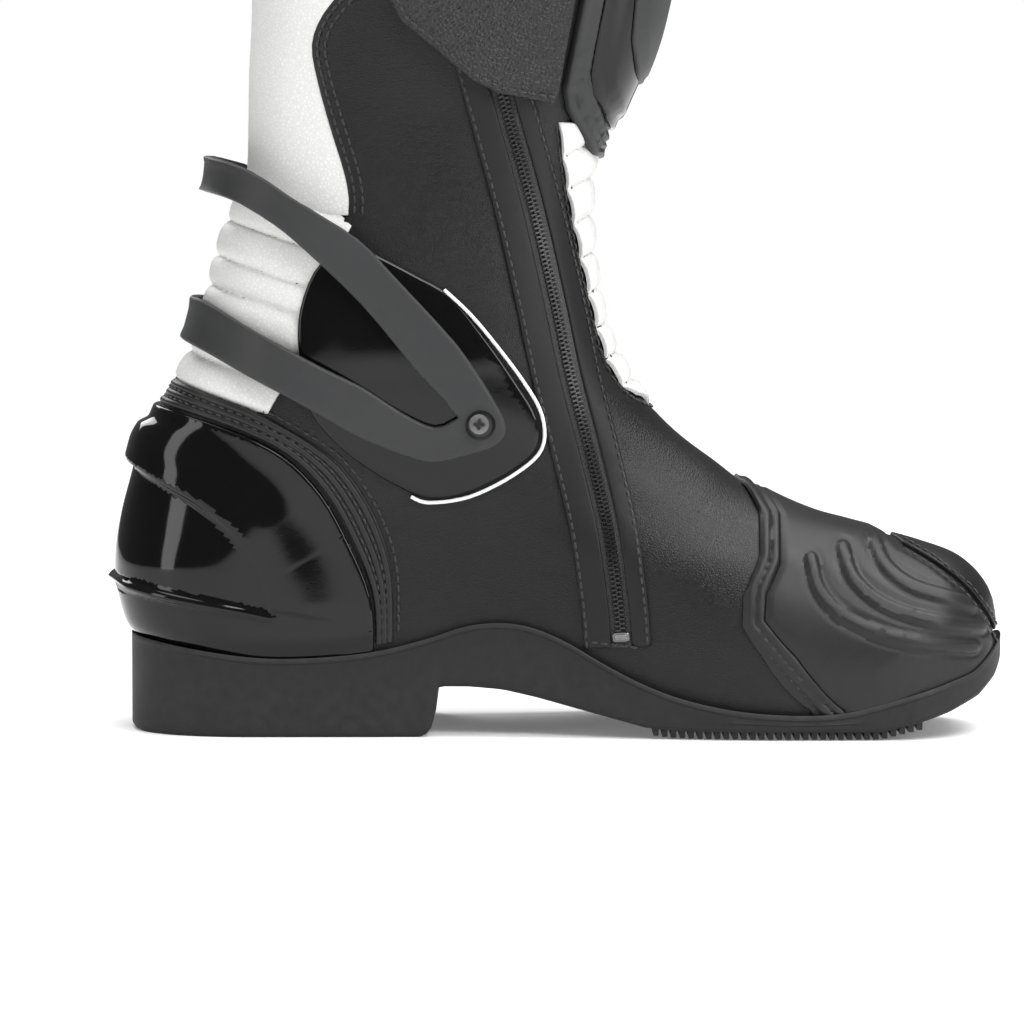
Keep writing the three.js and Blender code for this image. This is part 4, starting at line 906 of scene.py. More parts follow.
def make_sole():
    """The sections joined into one closed solid."""
    rings = [sole_section(*row) for row in zip(*sole_stations())]
    n, count = len(rings[0]), len(rings)
    faces = [(r * n + i, (r + 1) * n + i, (r + 1) * n + (i + 1) % n, r * n + (i + 1) % n)
             for r in range(count - 1) for i in range(n)]
    faces += [tuple(range(n)), tuple((count - 1) * n + i for i in range(n))[::-1]]
    return new_object("rubber_sole", [p for ring in rings for p in ring], faces, "sole_rubber", 35)


sole = make_sole()
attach(sole, "foot")
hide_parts("outsole")


def lug(x, y, wide, long, low, high):
    """A small tread block with sloped sides."""
    v = []
    for z, s in ((low, 0.82), (low + 0.5, 1.0), (high, 1.0)):
        v += [(x + i * long / 2 * s, y + j * wide / 2 * s, z)
              for i, j in ((-1, -1), (1, -1), (1, 1), (-1, 1))]
    f = [(3, 2, 1, 0), (8, 9, 10, 11)]
    f += [(r + i, r + (i + 1) % 4, r + 4 + (i + 1) % 4, r + 4 + i) for r in (0, 4) for i in range(4)]
    return np.array(v), f


def make_tread():
    """Rows of lugs under the forefoot, with a row that follows the edge."""
    plan = plan_outline(0.6)
    parts = []
    for i, x in enumerate(np.arange(122, 210, 2.9)):
        left, right = (np.interp(x, plan[s][:, 0], plan[s][:, 1]) for s in (INNER, OUTER))
        lift = float(np.interp(x, BOTTOM[:, 0], BOTTOM[:, 1]))
        count = int((right - left) / 3.1)
        for j in range(count):
            y = left + 1.6 + (right - left - 3.2) * (j + 0.5 * (i % 2) * (0 < j < count - 1)) / (count - 1)
            parts.append(lug(x, y, 2.0, 1.9, max(0.05, lift - 2.4), lift + 0.3))
    return new_object("forefoot_lugs", *join(parts), "sole_rubber", 30)


lugs = make_tread()
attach(lugs, "foot")
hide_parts("forefoot_tread")
print("sole:", len(sole.data.vertices), "points; lugs:", len(lugs.data.polygons), "faces")

# %% [markdown]
# ## Heel cup
# A glossy moulded cover wraps the heel. A raised blade runs from its top rear corner down its side and
# leaves a dark window, and a thin ridge runs round it lower down. These steps are in the mesh: their lines
# are extra edges of the pattern's fill, a pair for each step, so gloss breaks cleanly along them.

# %% Heel cup and its collar
CUP_TOP = spline([[-50.5, 108.2], [-41.5, 108.4], [-19.1, 102.3], [-1.3, 93.8], [11.7, 80.4], [20.8, 63.7],
                  [27.4, 47], [28.6, 30]], 4)
BLADE = spline([[-64, 95.6], [-53, 91], [-38.2, 82.5], [-26.8, 75.5], [-15.7, 65.3], [-9, 54.9],
                [-5.6, 42.5]], 5)
ABOVE_BLADE = np.vstack([BLADE, [[30, 36], [40, 130], [-70, 130]]])
RIDGE = spline([[-64, 52.6], [-57, 51.6], [-35.8, 46.2], [-6, 39.8]], 4)


def cup_height(place, far, pattern):
    """The heel cup's height: a blade and a ridge that rise towards the heel."""
    rear = smoothstep(-place[:, 0], 10, 48)
    side = place[:, [0, 2]]
    away = to_line(side, BLADE)
    edge = smoothstep(away * np.where(inside(side, ABOVE_BLADE), 1, -1), -0.8, 0.8)
    top = 1 - smoothstep(place[:, 2], 101.5, 105) * smoothstep(-place[:, 0], 15, 38)
    blade = edge * top * (1 - smoothstep(away, 7, 24)) * (0.9 + 2.8 * rear)
    ridge = (1 - smoothstep(to_line(place[:, [0, 2]], RIDGE), 0.5, 2.0)) * (0.5 + 2.2 * rear)
    seated = 1 - smoothstep(place[:, 2] - sole_height(place[:, 0]), 1.0, 8.0)
    return 2.8 + np.maximum(blade, ridge) + 0.5 * smoothstep(far, 0.5, 12) - 1.1 * seated


low_run = np.array([[x, sole_height(x) - 1.0] for x in np.linspace(28.6, -50, 50)])
cup_loop = mirrored(np.vstack([CUP_TOP, low_run]), "back")


def step_pair(line, distances):
    """Pattern lines either side of a step, on both sides of the boot and joined over the back seam."""
    out = []
    for d in distances:
        part = resample(beside(line, d), 1.0)
        in_cup = inside(part, np.vstack([CUP_TOP, low_run + [0, 3]]))
        part = part[(part[:, 0] > back_of(part[:, 1]) + 1.2) & in_cup]
        run = unroll(part[:, 0], part[:, 1], OUTER, "back")
        seam = run[0, 1] - (run[2, 1] - run[0, 1]) / (run[2, 0] - run[0, 0]) * run[0, 0] / 2
        run = np.vstack([[[0, seam]], run])
        out += [run, run * [-1, 1]]
    return out


step_lines = step_pair(BLADE, (-0.8, 0, 0.8)) + step_pair(RIDGE, (-2.0, -1.25, -0.5, 0.5, 1.25, 2.0))
heel_cup = sheet_piece("heel_cup_cover", [cup_loop], "back", "polished_cover", cup_height, 2.4, rim=0.6,
                       step=0.85, edge_step=0.9, features=step_lines, smooth=85, stretch=1.9)
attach(heel_cup, "foot")
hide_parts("heel_cup")

COLLAR = spline([[-50, 119.8], [-39.9, 118.4], [-24, 113], [-8, 106.9], [14.1, 93.8], [25.1, 80.4],
                 [31.8, 66], [34.5, 52.6], [34.6, 32]], 4)
CUP_EDGE = spline([[-50, 109.2], [-41, 109.2], [-18.7, 103.1], [-0.6, 94.6], [12.5, 81.0], [21.6, 64.1],
                   [28.3, 47.2], [29.5, 31]], 4)

collar_low = np.array([[34.6, 31.5], [29.5, 30.5]])
collar_loop = mirrored(np.vstack([COLLAR, collar_low, CUP_EDGE[::-1]]), "back")
collar_trim = sheet_piece("heel_collar_piping", [collar_loop], "back", "pad_rubber", 1.0, 1.5,
                          rim=0.3, step=1.6, edge_step=1.2)
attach(collar_trim, "foot")
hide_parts("heel_collar_trim")


def between(share):
    """A line part of the way from the collar's outer edge to the cup's edge."""
    a, b = resample(COLLAR, 0.5), resample(CUP_EDGE, 0.5)
    at = np.linspace(0, 1, 150)
    pick = lambda line: np.stack([np.interp(at, np.linspace(0, 1, len(line)), line[:, i]) for i in (0, 1)], 1)
    return pick(a) * (1 - share) + pick(b) * share


def round_back(line, lift):
    """3-D points and normals of a line that runs round the heel from one side's sole to the other's."""
    line = line[line[:, 0] > back_of(line[:, 1]) + 0.4]
    run = unroll(line[:, 0], line[:, 1], OUTER, "back")
    place, normal = last_frame(np.vstack([(run * [-1, 1])[::-1], run]), "back")
    return place + normal * lift, normal


cords = bead("heel_collar_cords", [round_back(between(s), 1.0) for s in (0.16, 0.5, 0.84)], "pad_rubber",
             1.15, 1.0)
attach(cords, "foot")
print("heel cup:", len(heel_cup.data.vertices), "points; collar:", len(collar_trim.data.vertices))

# %% [markdown]
# ## Ankle cups
# A glossy cup covers each ankle bone, with a thin white bead along its lower front edge. Each cup is a
# sheet that is laid on the last a little way off the leather, and the bead is swept along its edge.

# %% Ankle cups
ANKLE_CUP = spline([[25.1, 162.5], [41.9, 153.8], [54, 146.5], [66, 132], [76, 117.8], [82.6, 106.4],
                    [82.6, 96.4], [74, 88.6], [60, 81.6], [47, 79.6], [36.2, 83.8], [24.1, 91.5],
                    [14.1, 100.5], [7.4, 110.2], [4.6, 126], [5, 142], [11.7, 157.1], [25.1, 162.5]], 4)[:-1]
CUP_BEAD = spline([[52, 148.5], [60, 141], [68, 131.5], [77.5, 118.8], [84.0, 107], [84.0, 95.8], [75, 87.4],
                   [60.5, 80.2], [47, 78.2], [41, 80.2]], 5)


def lifted(offset):
    """A height over the last that grows by 1.5 mm towards the heel."""
    return lambda place, *rest: offset + 1.5 * smoothstep(-place[:, 0], -44, -14)


def ankle_height(place, far, pattern):
    """The ankle cup's height, a little lower at its edge."""
    return lifted(1.8)(place) + 0.7 * smoothstep(far, 0.5, 9)


for side, word in ((INNER, "medial"), (OUTER, "lateral")):
    cup = sheet_piece(f"ankle_cup_cover_{word}", [one_side(ANKLE_CUP, side)], "front", "polished_cover",
                      ankle_height, 2.0, rim=0.9, step=1.3, edge_step=1.0, smooth=85)
    line, normal = on_last(CUP_BEAD, side, 1.5)
    white = bead(f"ankle_cup_bead_{word}", [(line, normal)], "white_bead", 0.62, 1.1)
    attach(cup, "shaft")
    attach(white, "shaft")
    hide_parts(f"ankle_cup_{word}")
    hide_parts(f"ankle_cup_edge_{word}")
print("ankle cups:", len(cup.data.vertices), "points each")

# %% [markdown]
# ## Heel brace
# A matt brace in the shape of a V turns on a screw at each side; its two straps run round the heel, well off
# the leather. It is one sheet with a window cut in it, so both straps meet at the screws. Each screw sits in
# a round seat that is sunk into the sheet's height.

# %% Heel brace
PIVOT = (63.6, 104.5)  # the screw's centre, in side view
SCREW_SEAT = (4.0, 4.9)  # radii of the seat's floor and of its rim
BRACE_THICK = 3.0
strap_top = spline([[-14.7, 192], [-5.4, 187.3], [7.4, 176], [24.1, 164.8], [36.2, 152.4], [56.3, 130.3],
                    [67, 114], [71.8, 104], [69, 98], [60, 94.8], [49.6, 92.6], [41.9, 93.8], [25.1, 100.5],
                    [9.7, 109.2], [-9, 119], [-24, 126.4]], 3)
BRACE_OUT = np.vstack([[[-19, 192.6]], strap_top, [[-31, 129.6]], [[-33.5, 130.2]]])
gap_low = spline([[-24.5, 143.8], [-4.7, 132.7], [7.4, 126], [25.1, 116.9], [38.5, 108.4], [49, 103.8],
                  [56.4, 107]], 3)
gap_high = spline([[52, 112.5], [41.9, 123.6], [25.1, 143.7], [7.4, 161.5], [-3, 170.5], [-16, 176.4]], 3)
BRACE_GAP = np.vstack([[[-29, 144.4]], gap_low, gap_high, [[-19.5, 177.4]]])


def brace_base(place):
    """Height of the brace's inner face over the last."""
    x, z = place[:, 0], place[:, 2]
    reach = 3.5 + 4.2 * smoothstep(-x, -50, 12)
    upper = 3.6 * smoothstep(z, 150, 178) * smoothstep(-x, -60, 10)
    lower = 4.4 * smoothstep(-x, 0, 24) * (1 - smoothstep(z, 140, 165))
    return reach + upper - lower


def brace_height(place, far, pattern):
    """The strap's flat top with a low raised border, and a seat round the screw."""
    hub = np.hypot(place[:, 0] - PIVOT[0], place[:, 2] - PIVOT[1])
    seat = 1.1 * (1 - smoothstep(hub, *SCREW_SEAT))
    return brace_base(place) + BRACE_THICK - 0.35 * smoothstep(far, 1.4, 2.0) - seat


turns = np.linspace(0, 2 * math.pi, 29)
circles = [np.array([[PIVOT[0] + r * math.cos(a), PIVOT[1] + r * math.sin(a)] for a in turns])
           for r in SCREW_SEAT]
seat_lines = [unroll(c[:, 0], c[:, 1], side, "back") for side in (INNER, OUTER) for c in circles]
brace_loops = [mirrored(BRACE_OUT, "back"), mirrored(BRACE_GAP, "back")]
brace = sheet_piece("heel_brace", brace_loops, "back", "matt_cover", brace_height,
                    3.0, rim=0.7, step=2.0, features=seat_lines)
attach(brace, "brace")
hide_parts("ankle_brace")
print("brace:", len(brace.data.vertices), "points")

# %% [markdown]
# ## Zip
# A zip runs from the top of the boot down to the sole on the inner side. Each facing is a strip of leather
# beside the zip's line. Between them lies the tape, and the teeth are small blocks set in turn on its two
# edges, one row for each side, as a moulded zip has them. The strips cross the ankle as fixed pieces.

# %% Zip facings, tape and teeth
def beneath(outline, offset, side=INNER, seam="front"):
    """Side-view points moved so that a sheet at that height shows its edge along the outline."""
    target = np.array(outline, float)
    p = target.copy()
    for _ in range(6):
        place, normal = last_frame(unroll(p[:, 0], p[:, 1], side, seam), seam)
        p += 0.8 * (target - (place + normal * offset)[:, [0, 2]])
    return p


ZIP = spline([[50.5, 292], [62.5, 245], [71.7, 210.7], [80.7, 177.3], [87.7, 146.6], [93.5, 119.6],
              [100.4, 93.5], [106.3, 68.7], [109.8, 44], [110.8, 30.5]], 5)


def strip(line, low, high):
    """The outline of a band along a line, between two distances from it."""
    return np.vstack([beside(line, low), beside(line, high)[::-1]])


for name, low, high, nodes in (("zip_facing_rear", -3.4, -12.5, ["zip_placket_rear", "zip_placket_foot"]),
                               ("zip_facing_front", 3.4, 9.6, ["zip_placket_front"])):
    facing = sheet_piece(name, [one_side(strip(ZIP, low, high), INNER)], "front", "zip_facing", 1.5, 1.2,
                         rim=0.6, step=2.2)
    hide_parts(*nodes)
    across_ankle(facing)

tape = sheet_piece("zip_tape", [one_side(strip(ZIP, -4.2, 4.2), INNER)], "front", "lining_cloth", 0.65, 0.5,
                   rim=0.1, step=2.0)
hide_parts("zip_chain_shaft", "zip_chain_foot")
across_ankle(tape)


def block(centre, axes, size, taper=0.8):
    """A small moulded block: axes are its along, across and up directions."""
    a, b, c = (np.asarray(v) for v in axes)
    v = [centre + a * size[0] / 2 * i * s + b * size[1] / 2 * j * s + c * size[2] * h
         for h, s in ((0, 1), (0.7, 1), (1, taper)) for i, j in ((-1, -1), (1, -1), (1, 1), (-1, 1))]
    f = [(3, 2, 1, 0), (8, 9, 10, 11)]
    f += [(r + i, r + (i + 1) % 4, r + 4 + (i + 1) % 4, r + 4 + i) for r in (0, 4) for i in range(4)]
    return np.array(v), f


def zip_teeth(pitch=1.5):
    """Two rows of teeth that mesh, one block each."""
    points, normals = on_last(ZIP, INNER, 0.6, step=0.5)
    run = np.concatenate([[0], np.cumsum(np.linalg.norm(np.diff(points, axis=0), axis=1))])
    parts = []
    for i, at in enumerate(np.arange(2, run[-1] - 2, pitch / 2)):
        p, q, n = (np.array([np.interp(at + e, run, a[:, j]) for j in range(3)])
                   for e, a in ((0, points), (0.3, points), (0, normals)))
        t = (q - p) / np.linalg.norm(q - p)
        across = np.cross(t, n)
        side = 1 if i % 2 else -1
        parts.append(block(p + across * side * 0.75, (t, across, n), (0.75, 2.3, 1.15)))
    return new_object("zip_teeth", *join(parts), "zip_plastic", 30)


teeth = zip_teeth()
across_ankle(teeth)
print("zip teeth:", len(teeth.data.polygons) // 10)

# %% [markdown]
# ## Slider, pull and end stops
# The zip's metal parts are cast pieces: a slider body with an arch over it, a ring pull that hangs from the
# arch, and a stop at each end of the teeth. Each is a bevelled plate or a swept loop, set on the zip's line.

# %% Slider, pull and end stops
def line_frame(line, x_near, side, lift):
    """A place on a line of the last and its directions: along, across and out."""
    points, normals = on_last(line, side, lift, step=0.5)
    i = int(np.argmin(np.abs(points[:, 2] - x_near)))
    t = points[i] - points[i - 2]
    t /= np.linalg.norm(t)
    n = normals[i] - t * (normals[i] @ t)
    n /= np.linalg.norm(n)
    return points[i], t, np.cross(n, t), n


def plate_of(outline, centre, t, a, n, low, high, bevel=0.3):
    """A flat moulded plate with bevelled edges; outline is (along, across)."""
    o = np.asarray(outline, float)
    shrink = o * (1 - bevel / np.abs(o).max())
    v = [centre + t * p[0] + a * p[1] + n * h for ring, h in
         ((shrink, low), (o, low + bevel), (o, high - bevel), (shrink, high)) for p in ring]
    k = len(o)
    f = [tuple(range(k))[::-1], tuple(range(3 * k, 4 * k))]
    f += [(r * k + i, r * k + (i + 1) % k, (r + 1) * k + (i + 1) % k, (r + 1) * k + i)
          for r in range(3) for i in range(k)]
    return np.array(v), f


def oval(long, wide, count=24, power=2.6):
    """A rounded outline, from an ellipse at power 2 towards a rectangle."""
    a = np.linspace(0, 2 * math.pi, count, endpoint=False)
    c, s = np.cos(a), np.sin(a)
    return np.stack([long * np.sign(c) * np.abs(c) ** (2 / power),
                     wide * np.sign(s) * np.abs(s) ** (2 / power)], 1)


place, t, a, n = line_frame(ZIP, 278.5, INNER, 0.0)
body_outline = [(-5.6, -2.2), (-4.8, -3.0), (-2, -4.2), (3.5, -4.2), (5.6, -3.2), (5.9, 0), (5.6, 3.2),
                (3.5, 4.2), (-2, 4.2), (-4.8, 3.0), (-5.6, 2.2)]
arch = np.array([place + t * (4.2 * math.cos(w)) + n * (3.6 + 1.6 * math.sin(w))
                 for w in np.linspace(0, math.pi, 15)])
slider_body = new_object("zip_slider_body", *join([
    plate_of(body_outline, place, t, a, n, 2.7, 3.9),
    tube(arch, np.repeat(a[None], 15, 0), 0.55, 1.3, sides=10)]), "dark_steel", 35)
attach(slider_body, "slider")
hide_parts("zip_slider")
hang = place + t * 12.5 + n * 3.6
ring = np.array([hang + t * p[0] + a * p[1] for p in oval(9.2, 3.1, 36, 3.2)])
pull = new_object("zip_pull_tab", *join([
    tube(ring, np.repeat(n[None], 36, 0), 0.85, 0.6, closed=True, sides=8),
    plate_of(oval(5.4, 2.5, 28), hang + t * 2.6, t, a, n, -0.45, 0.45, 0.15)]), "dark_steel", 35)
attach(pull, "slider")
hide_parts("zip_pull")
for z, name, node, body in ((288.5, "zip_stop_upper", "zip_stop_top", "shaft"),
                            (34.0, "zip_stop_lower", "zip_stop_bottom", "foot")):
    place, t, a, n = line_frame(ZIP, z, INNER, 0.0)
    stop = new_object(name, *join([plate_of(oval(1.7, 2.9, 20, 4), place, t, a, n, 0.7, 2.0, 0.3),
                                   plate_of(oval(1.1, 2.1, 20, 4), place, t, a, n, 1.9, 2.3, 0.2)]),
                      "dark_steel", 35)
    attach(stop, body)
    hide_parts(node)
print("zip metal:", MADE[-4:])

# %% [markdown]
# ## Calf flap
# A flap of pebbled leather covers the top of the zip and turns open on its front edge; a hook-and-loop
# patch holds it. The flap is a sheet that stands off the leather, so the zip runs on beneath it.

# %% Flap
FLAP = np.array([[34.4, 262], [34, 252], [34.8, 242.5], [38.2, 236.2], [48.6, 227.6], [61.3, 217.1],
                 [70, 212.8], [82.4, 210.5], [88.6, 209.6], [90.4, 214], [95.6, 244], [98.6, 275],
                 [100, 304], [92, 308], [60, 304], [46, 300], [37, 290], [34.6, 274]])
FLAP_TOP = 6.9  # the greatest height of the flap's outer face over the last
flap_edge = beneath(FLAP, FLAP_TOP)
flap = sheet_piece("calf_flap_leather", [one_side(flap_edge, INNER)], "front", "pebble_black_leather",
                   lambda p, far, q: 6.7 + 0.2 * np.sin(p[:, 0] * 0.15 + p[:, 2] * 0.08), 1.6, rim=0.8,
                   step=3.0)
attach(flap, "flap")
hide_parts("calf_flap")
PATCH = np.array([[37.6, 248], [43.4, 241.5], [46.6, 244.5], [43.6, 262], [39.6, 273.5], [37.8, 269.5]])
for name, node, body, top, thick in (("hook_patch", "flap_hook_patch", "flap", 5.2, 0.9),
                                     ("loop_patch", "flap_loop_patch", "shaft", 4.2, 3.9)):
    patch = sheet_piece(name, [one_side(beneath(PATCH, top), INNER)], "front", "lining_cloth",
                        lambda p, far, q: top + 0.12 * np.sin(q[:, 0] * 2.4) * np.sin(q[:, 1] * 2.4), thick,
                        rim=0.3, step=0.9)
    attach(patch, body)
    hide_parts(node)
print("flap:", len(flap.data.vertices), "points; patches:", MADE[-2:])

# %% [markdown]
# ## Shin plate
# In front, a stack of moulded layers protects the shin: a ribbed trim, a plate and a raised insert. Each
# layer is its own sheet with a rolled edge, so the stack reads as separate parts.

# %% Shin plate
TRIM = [[93.8, 207.4], [92.4, 214], [98.4, 244], [101.5, 275], [103.3, 306]]
PLATE = [[107.5, 203.6], [102.3, 212], [101.2, 219], [105.5, 244], [108.4, 275], [110.4, 311]]
INSERT = [[117, 219.5], [115.2, 230], [118, 262], [121, 296]]


def front_loop(chain, offset, low, high):
    """A closed outline across the shin, from its low point on the front line up to its high point."""
    side = beneath(chain, offset)
    tip = lambda z: [[front_of(z) + 1, z]]
    return mirrored(np.vstack([tip(low), side, tip(high)]), "front")


trim_loop = front_loop([[103.0, 192.6], *TRIM], 4.0, 192.2, 312)


def trim_height(place, far, pattern):
    """Three ridges that run along the trim's edge."""
    return 2.7 + 1.3 * np.abs(np.sin(np.clip(far / 2.9, 0, 3) * math.pi)) ** 0.6 * (far < 8.7)


plate_trim = sheet_piece("shin_trim", [trim_loop], "front", "matt_cover", trim_height, 2.0, rim=0.5, step=1.4,
                         edge_step=1.4)
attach(plate_trim, "shaft")
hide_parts("shin_plate_trim")
plate = sheet_piece("shin_cover", [front_loop(PLATE, 5.3, 201.5, 316)], "front", "polished_cover",
                    lambda p, far, q: 4.5 + 1.3 * smoothstep(far, 4.2, 5.6), 2.2, rim=0.8, step=1.8)
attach(plate, "shaft")
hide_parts("shin_plate")
insert = sheet_piece("shin_insert", [front_loop(INSERT, 7.4, 218, 300)], "front", "matt_cover",
                     lambda p, far, q: 7.0 + 0.6 * smoothstep(far, 2.4, 3.6), 1.9, rim=0.9, step=1.8)
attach(insert, "shaft")
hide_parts("shin_plate_insert")
print("shin stack:", [round(v, 3) for v in plate.dimensions])

# %% [markdown]
# ## Toe pieces
# On the inner side a rubber pad with plain curved ribs takes the gear lever; a double-ridged trim frames
# it, and a leather cap covers the toe. All are sheets on the last, and the ribs are in their heights.

# %% Shift pad, trim and toe cap
PAD_REAR = [[163.8, 74], [162.9, 58.3], [158.2, 48.6], [157.6, 39.9], [168.2, 27.5], [184, 10]]
PAD_FRONT = [[236.5, 31], [232, 39.5], [225, 48.2], [214, 56.9], [204, 62.5]]
TRIM_REAR = [[157.4, 76], [156.6, 62], [150.6, 48.5], [150.2, 38], [156.8, 27.6], [172.4, 10]]
OVER = 26.0  # how far the pad reaches over the top, in the pattern


def at_top(x, s=0.0):
    """A point of the pattern on the foot's top line, or beside it by s."""
    level = unroll([x], [front_top(x)], INNER, "front")[0, 1]
    return np.array([[s, -QUARTER - (x - FAN[0]) if x > FAN[0] else level]])


def front_top(x):
    """Height of the foot's top line at x."""
    toe = front_line[(front_line[:, 1] < 110) & (front_line[:, 1] > 33.2)]
    order = np.argsort(toe[:, 0])
    return float(np.interp(x, toe[order, 0], toe[order, 1]))


def flat(chain, offset, side=INNER):
    """A side-view line, as seen on a sheet at that height, in the pattern."""
    p = beneath(chain, offset, side)
    return unroll(p[:, 0], p[:, 1], side, "front")


def sole_edge(x0, x1, count, lift=-1.0):
    """Side-view points along the sole's upper edge."""
    return np.array([[x, sole_height(x) + lift] for x in np.linspace(x0, x1, count)])


pad_bottom = sole_edge(183, 236.1, 40)
pad_loop = np.vstack([at_top(158.5, OVER), at_top(157.6), flat(PAD_REAR, 2.2),
                      unroll(pad_bottom[:, 0], pad_bottom[:, 1], INNER, "front"), flat(PAD_FRONT, 2.2),
                      at_top(197.5), at_top(197, OVER)])
RIBS = [spline([[173, 58], [176, 48], [186, 39], [203, 33], [226, 30]], 5),
        spline([[184, 61], [187, 52], [196, 44.5], [210, 39.5], [229, 36.5]], 5),
        spline([[195, 62.5], [198, 55.5], [206, 49.5], [217, 46], [227, 43.5]], 5)]


def pad_height(place, far, pattern):
    """Three curved ribs on the inner side, each with a hollow beside it."""
    side = place[:, [0, 2]]
    ridge = np.zeros(len(place))
    for rib in RIBS:
        ridge = np.maximum(ridge, 1 - smoothstep(to_line(side, rib), 1.3, 2.3))
    hollow = np.zeros(len(place))
    for rib in RIBS:
        hollow = np.maximum(hollow, np.exp(-((to_line(side, rib) - 3.0) / 0.7) ** 2))
    inner = place[:, 1] < 3
    return 1.7 + 0.5 * smoothstep(far, 0.5, 3) + (0.95 * ridge - 0.35 * hollow) * inner


pad = sheet_piece("shift_pad_rubber", [pad_loop], "front", "pad_rubber", pad_height, 1.6, rim=0.8, step=1.25,
                  edge_step=1.4)
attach(pad, "foot")
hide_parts("shift_pad")
trim_loop = np.vstack([at_top(150.6, OVER + 6), at_top(149.6), flat(TRIM_REAR, 2.2),
                       unroll([174, 184], [8.0, 8.4], INNER, "front"), flat(PAD_REAR, 2.2)[::-1],
                       at_top(157.2), at_top(158, OVER + 0.6), at_top(197, OVER + 0.6),
                       at_top(197, OVER + 6)])


def pad_trim_height(place, far, pattern):
    """Two ridges along the trim."""
    inner = to_line(place[:, [0, 2]], np.array([[157.6, 84], *PAD_REAR]))
    return 1.15 + 0.95 * np.abs(np.sin(np.clip(inner / 6.4, 0, 1) * 2 * math.pi)) ** 0.6


pad_trim = sheet_piece("shift_pad_piping", [trim_loop], "front", "pad_rubber", pad_trim_height, 1.5, rim=0.5,
                       step=1.1, edge_step=1.2)
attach(pad_trim, "foot")
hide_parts("shift_pad_trim")
cap_loop = np.vstack([at_top(202), flat(np.array(PAD_FRONT)[::-1] + [1.6, 1.2], 1.2)[:-1],
                      unroll([235.6], [34], INNER, "front"), [[-40, -QUARTER - 61.2]], [[0, -QUARTER - 61.3]],
                      [[20, -QUARTER - 60.5]], [[24, -QUARTER - 58]],
                      at_top(206, 24)])
cap = sheet_piece("toe_cap_leather", [cap_loop], "front", "smooth_black_leather", 1.3, 1.2, rim=0.5, step=1.6)
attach(cap, "foot")
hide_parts("toe_cap")
print("pad:", len(pad.data.vertices), "points; trim:", len(pad_trim.data.vertices), "cap:",
      len(cap.data.vertices))

# %% [markdown]
# ## The outer side of the toe
# The outer side has a white panel and a glossy slider held by two screws in oval seats. Both are sheets on
# the last; the seats are sunk into the slider's height, and the screws are the CAD's own.

# %% Outer side: panel and slider
PANEL = [[61, 47.5], [90, 56], [130, 56], [170, 52.5], [205, 51.5], [224, 46], [230, 41]]
panel_low = sole_edge(229, 61, 60)
panel_edge = np.vstack([flat(PANEL, 1.2, OUTER), unroll(panel_low[:, 0], panel_low[:, 1], OUTER, "front")])
panel = sheet_piece("outer_white_panel", [panel_edge], "front", "white_leather", 1.3, 1.2, rim=0.7, step=2.8)
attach(panel, "foot")
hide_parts("lateral_white_panel")
SLIDER = [[112.4, 20], [112.6, 27], [122, 38], [150, 43], [203, 45.5], [221, 43.5], [230, 38]]
slider_low = sole_edge(232, 113, 50, 1.2)
SEATS = [(142.0, 25.0), (204.0, 32.0)]


def slider_height(place, far, pattern):
    """A crowned slider with oval seats and four small arrow grooves."""
    body = 3.4 + 2.8 * smoothstep(far, 0.8, 9)
    for x, z in SEATS:
        d = np.hypot((place[:, 0] - x) / 11.5, (place[:, 2] - z) / 6.6)
        body = body - 2.6 * (1 - smoothstep(d, 0.72, 0.95)) + 0.7 * np.exp(-((d - 1.12) / 0.11) ** 2)
    for i in range(4):
        x = 186 + 9 * i
        v = np.abs((place[:, 0] - x) - 0.8 * np.abs(place[:, 2] - 41.3))
        body = body - 0.6 * np.exp(-(v / 0.8) ** 2) * (np.abs(place[:, 2] - 41.3) < 2.6)
    return body


slider_edge = np.vstack([flat(SLIDER, 5.0, OUTER),
                         unroll(slider_low[:, 0], slider_low[:, 1], OUTER, "front")])
slider = sheet_piece("toe_slider_cover", [slider_edge], "front", "polished_cover", slider_height, 2.8,
                     rim=1.0, step=1.3, edge_step=1.4)
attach(slider, "foot")
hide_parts("toe_slider")
print("outer side:", MADE[-2:])

# %% [markdown]
# ## Inside the boot
# Looking in from above, one sees a padded collar, a cloth lining and the footbed. The collar is foam under
# cloth, so it is a ring with two soft rolls. The lining is one thin ring
# from the collar down into the foot; like the leather, it is one fixed piece.

# %% Lining, collar and footbed
def ring_piece(name, rows, material, outer, inner, columns=112):
    """A ring round the boot; rows(s) gives its levels k from below, outer and inner are offsets(s, v)."""
    s = np.linspace(-GIRTH, GIRTH, columns, endpoint=False)
    k = rows(s)
    count = k.shape[1]
    v = np.linspace(0, 1, count)
    grids = []
    for offset in (outer, inner):
        place, normal = last_frame(np.stack([np.repeat(s, count), k.ravel()], 1), "front")
        place, normal = place.reshape(columns, count, 3), normal.reshape(columns, count, 3)
        for j in range(count):
            for c in (0, columns // 2):
                normal[c, j] = normal[c - 1, j] + normal[(c + 1) % columns, j]
                normal[c, j] /= np.linalg.norm(normal[c, j])
        grids.append(place + normal * offset(s[:, None], v[None, :])[..., None])
    n = columns * count
    f = []
    at = lambda c, r, g: (c % columns) * count + r + g * n
    for c in range(columns):
        for r in range(count - 1):
            f.append((at(c, r, 0), at(c + 1, r, 0), at(c + 1, r + 1, 0), at(c, r + 1, 0)))
            f.append((at(c, r, 1), at(c, r + 1, 1), at(c + 1, r + 1, 1), at(c + 1, r, 1)))
        f.append((at(c, count - 1, 0), at(c + 1, count - 1, 0), at(c + 1, count - 1, 1), at(c, count - 1, 1)))
        f.append((at(c, 0, 1), at(c + 1, 0, 1), at(c + 1, 0, 0), at(c, 0, 0)))
    return new_object(name, np.vstack([g.reshape(-1, 3) for g in grids]), f, material, 60)


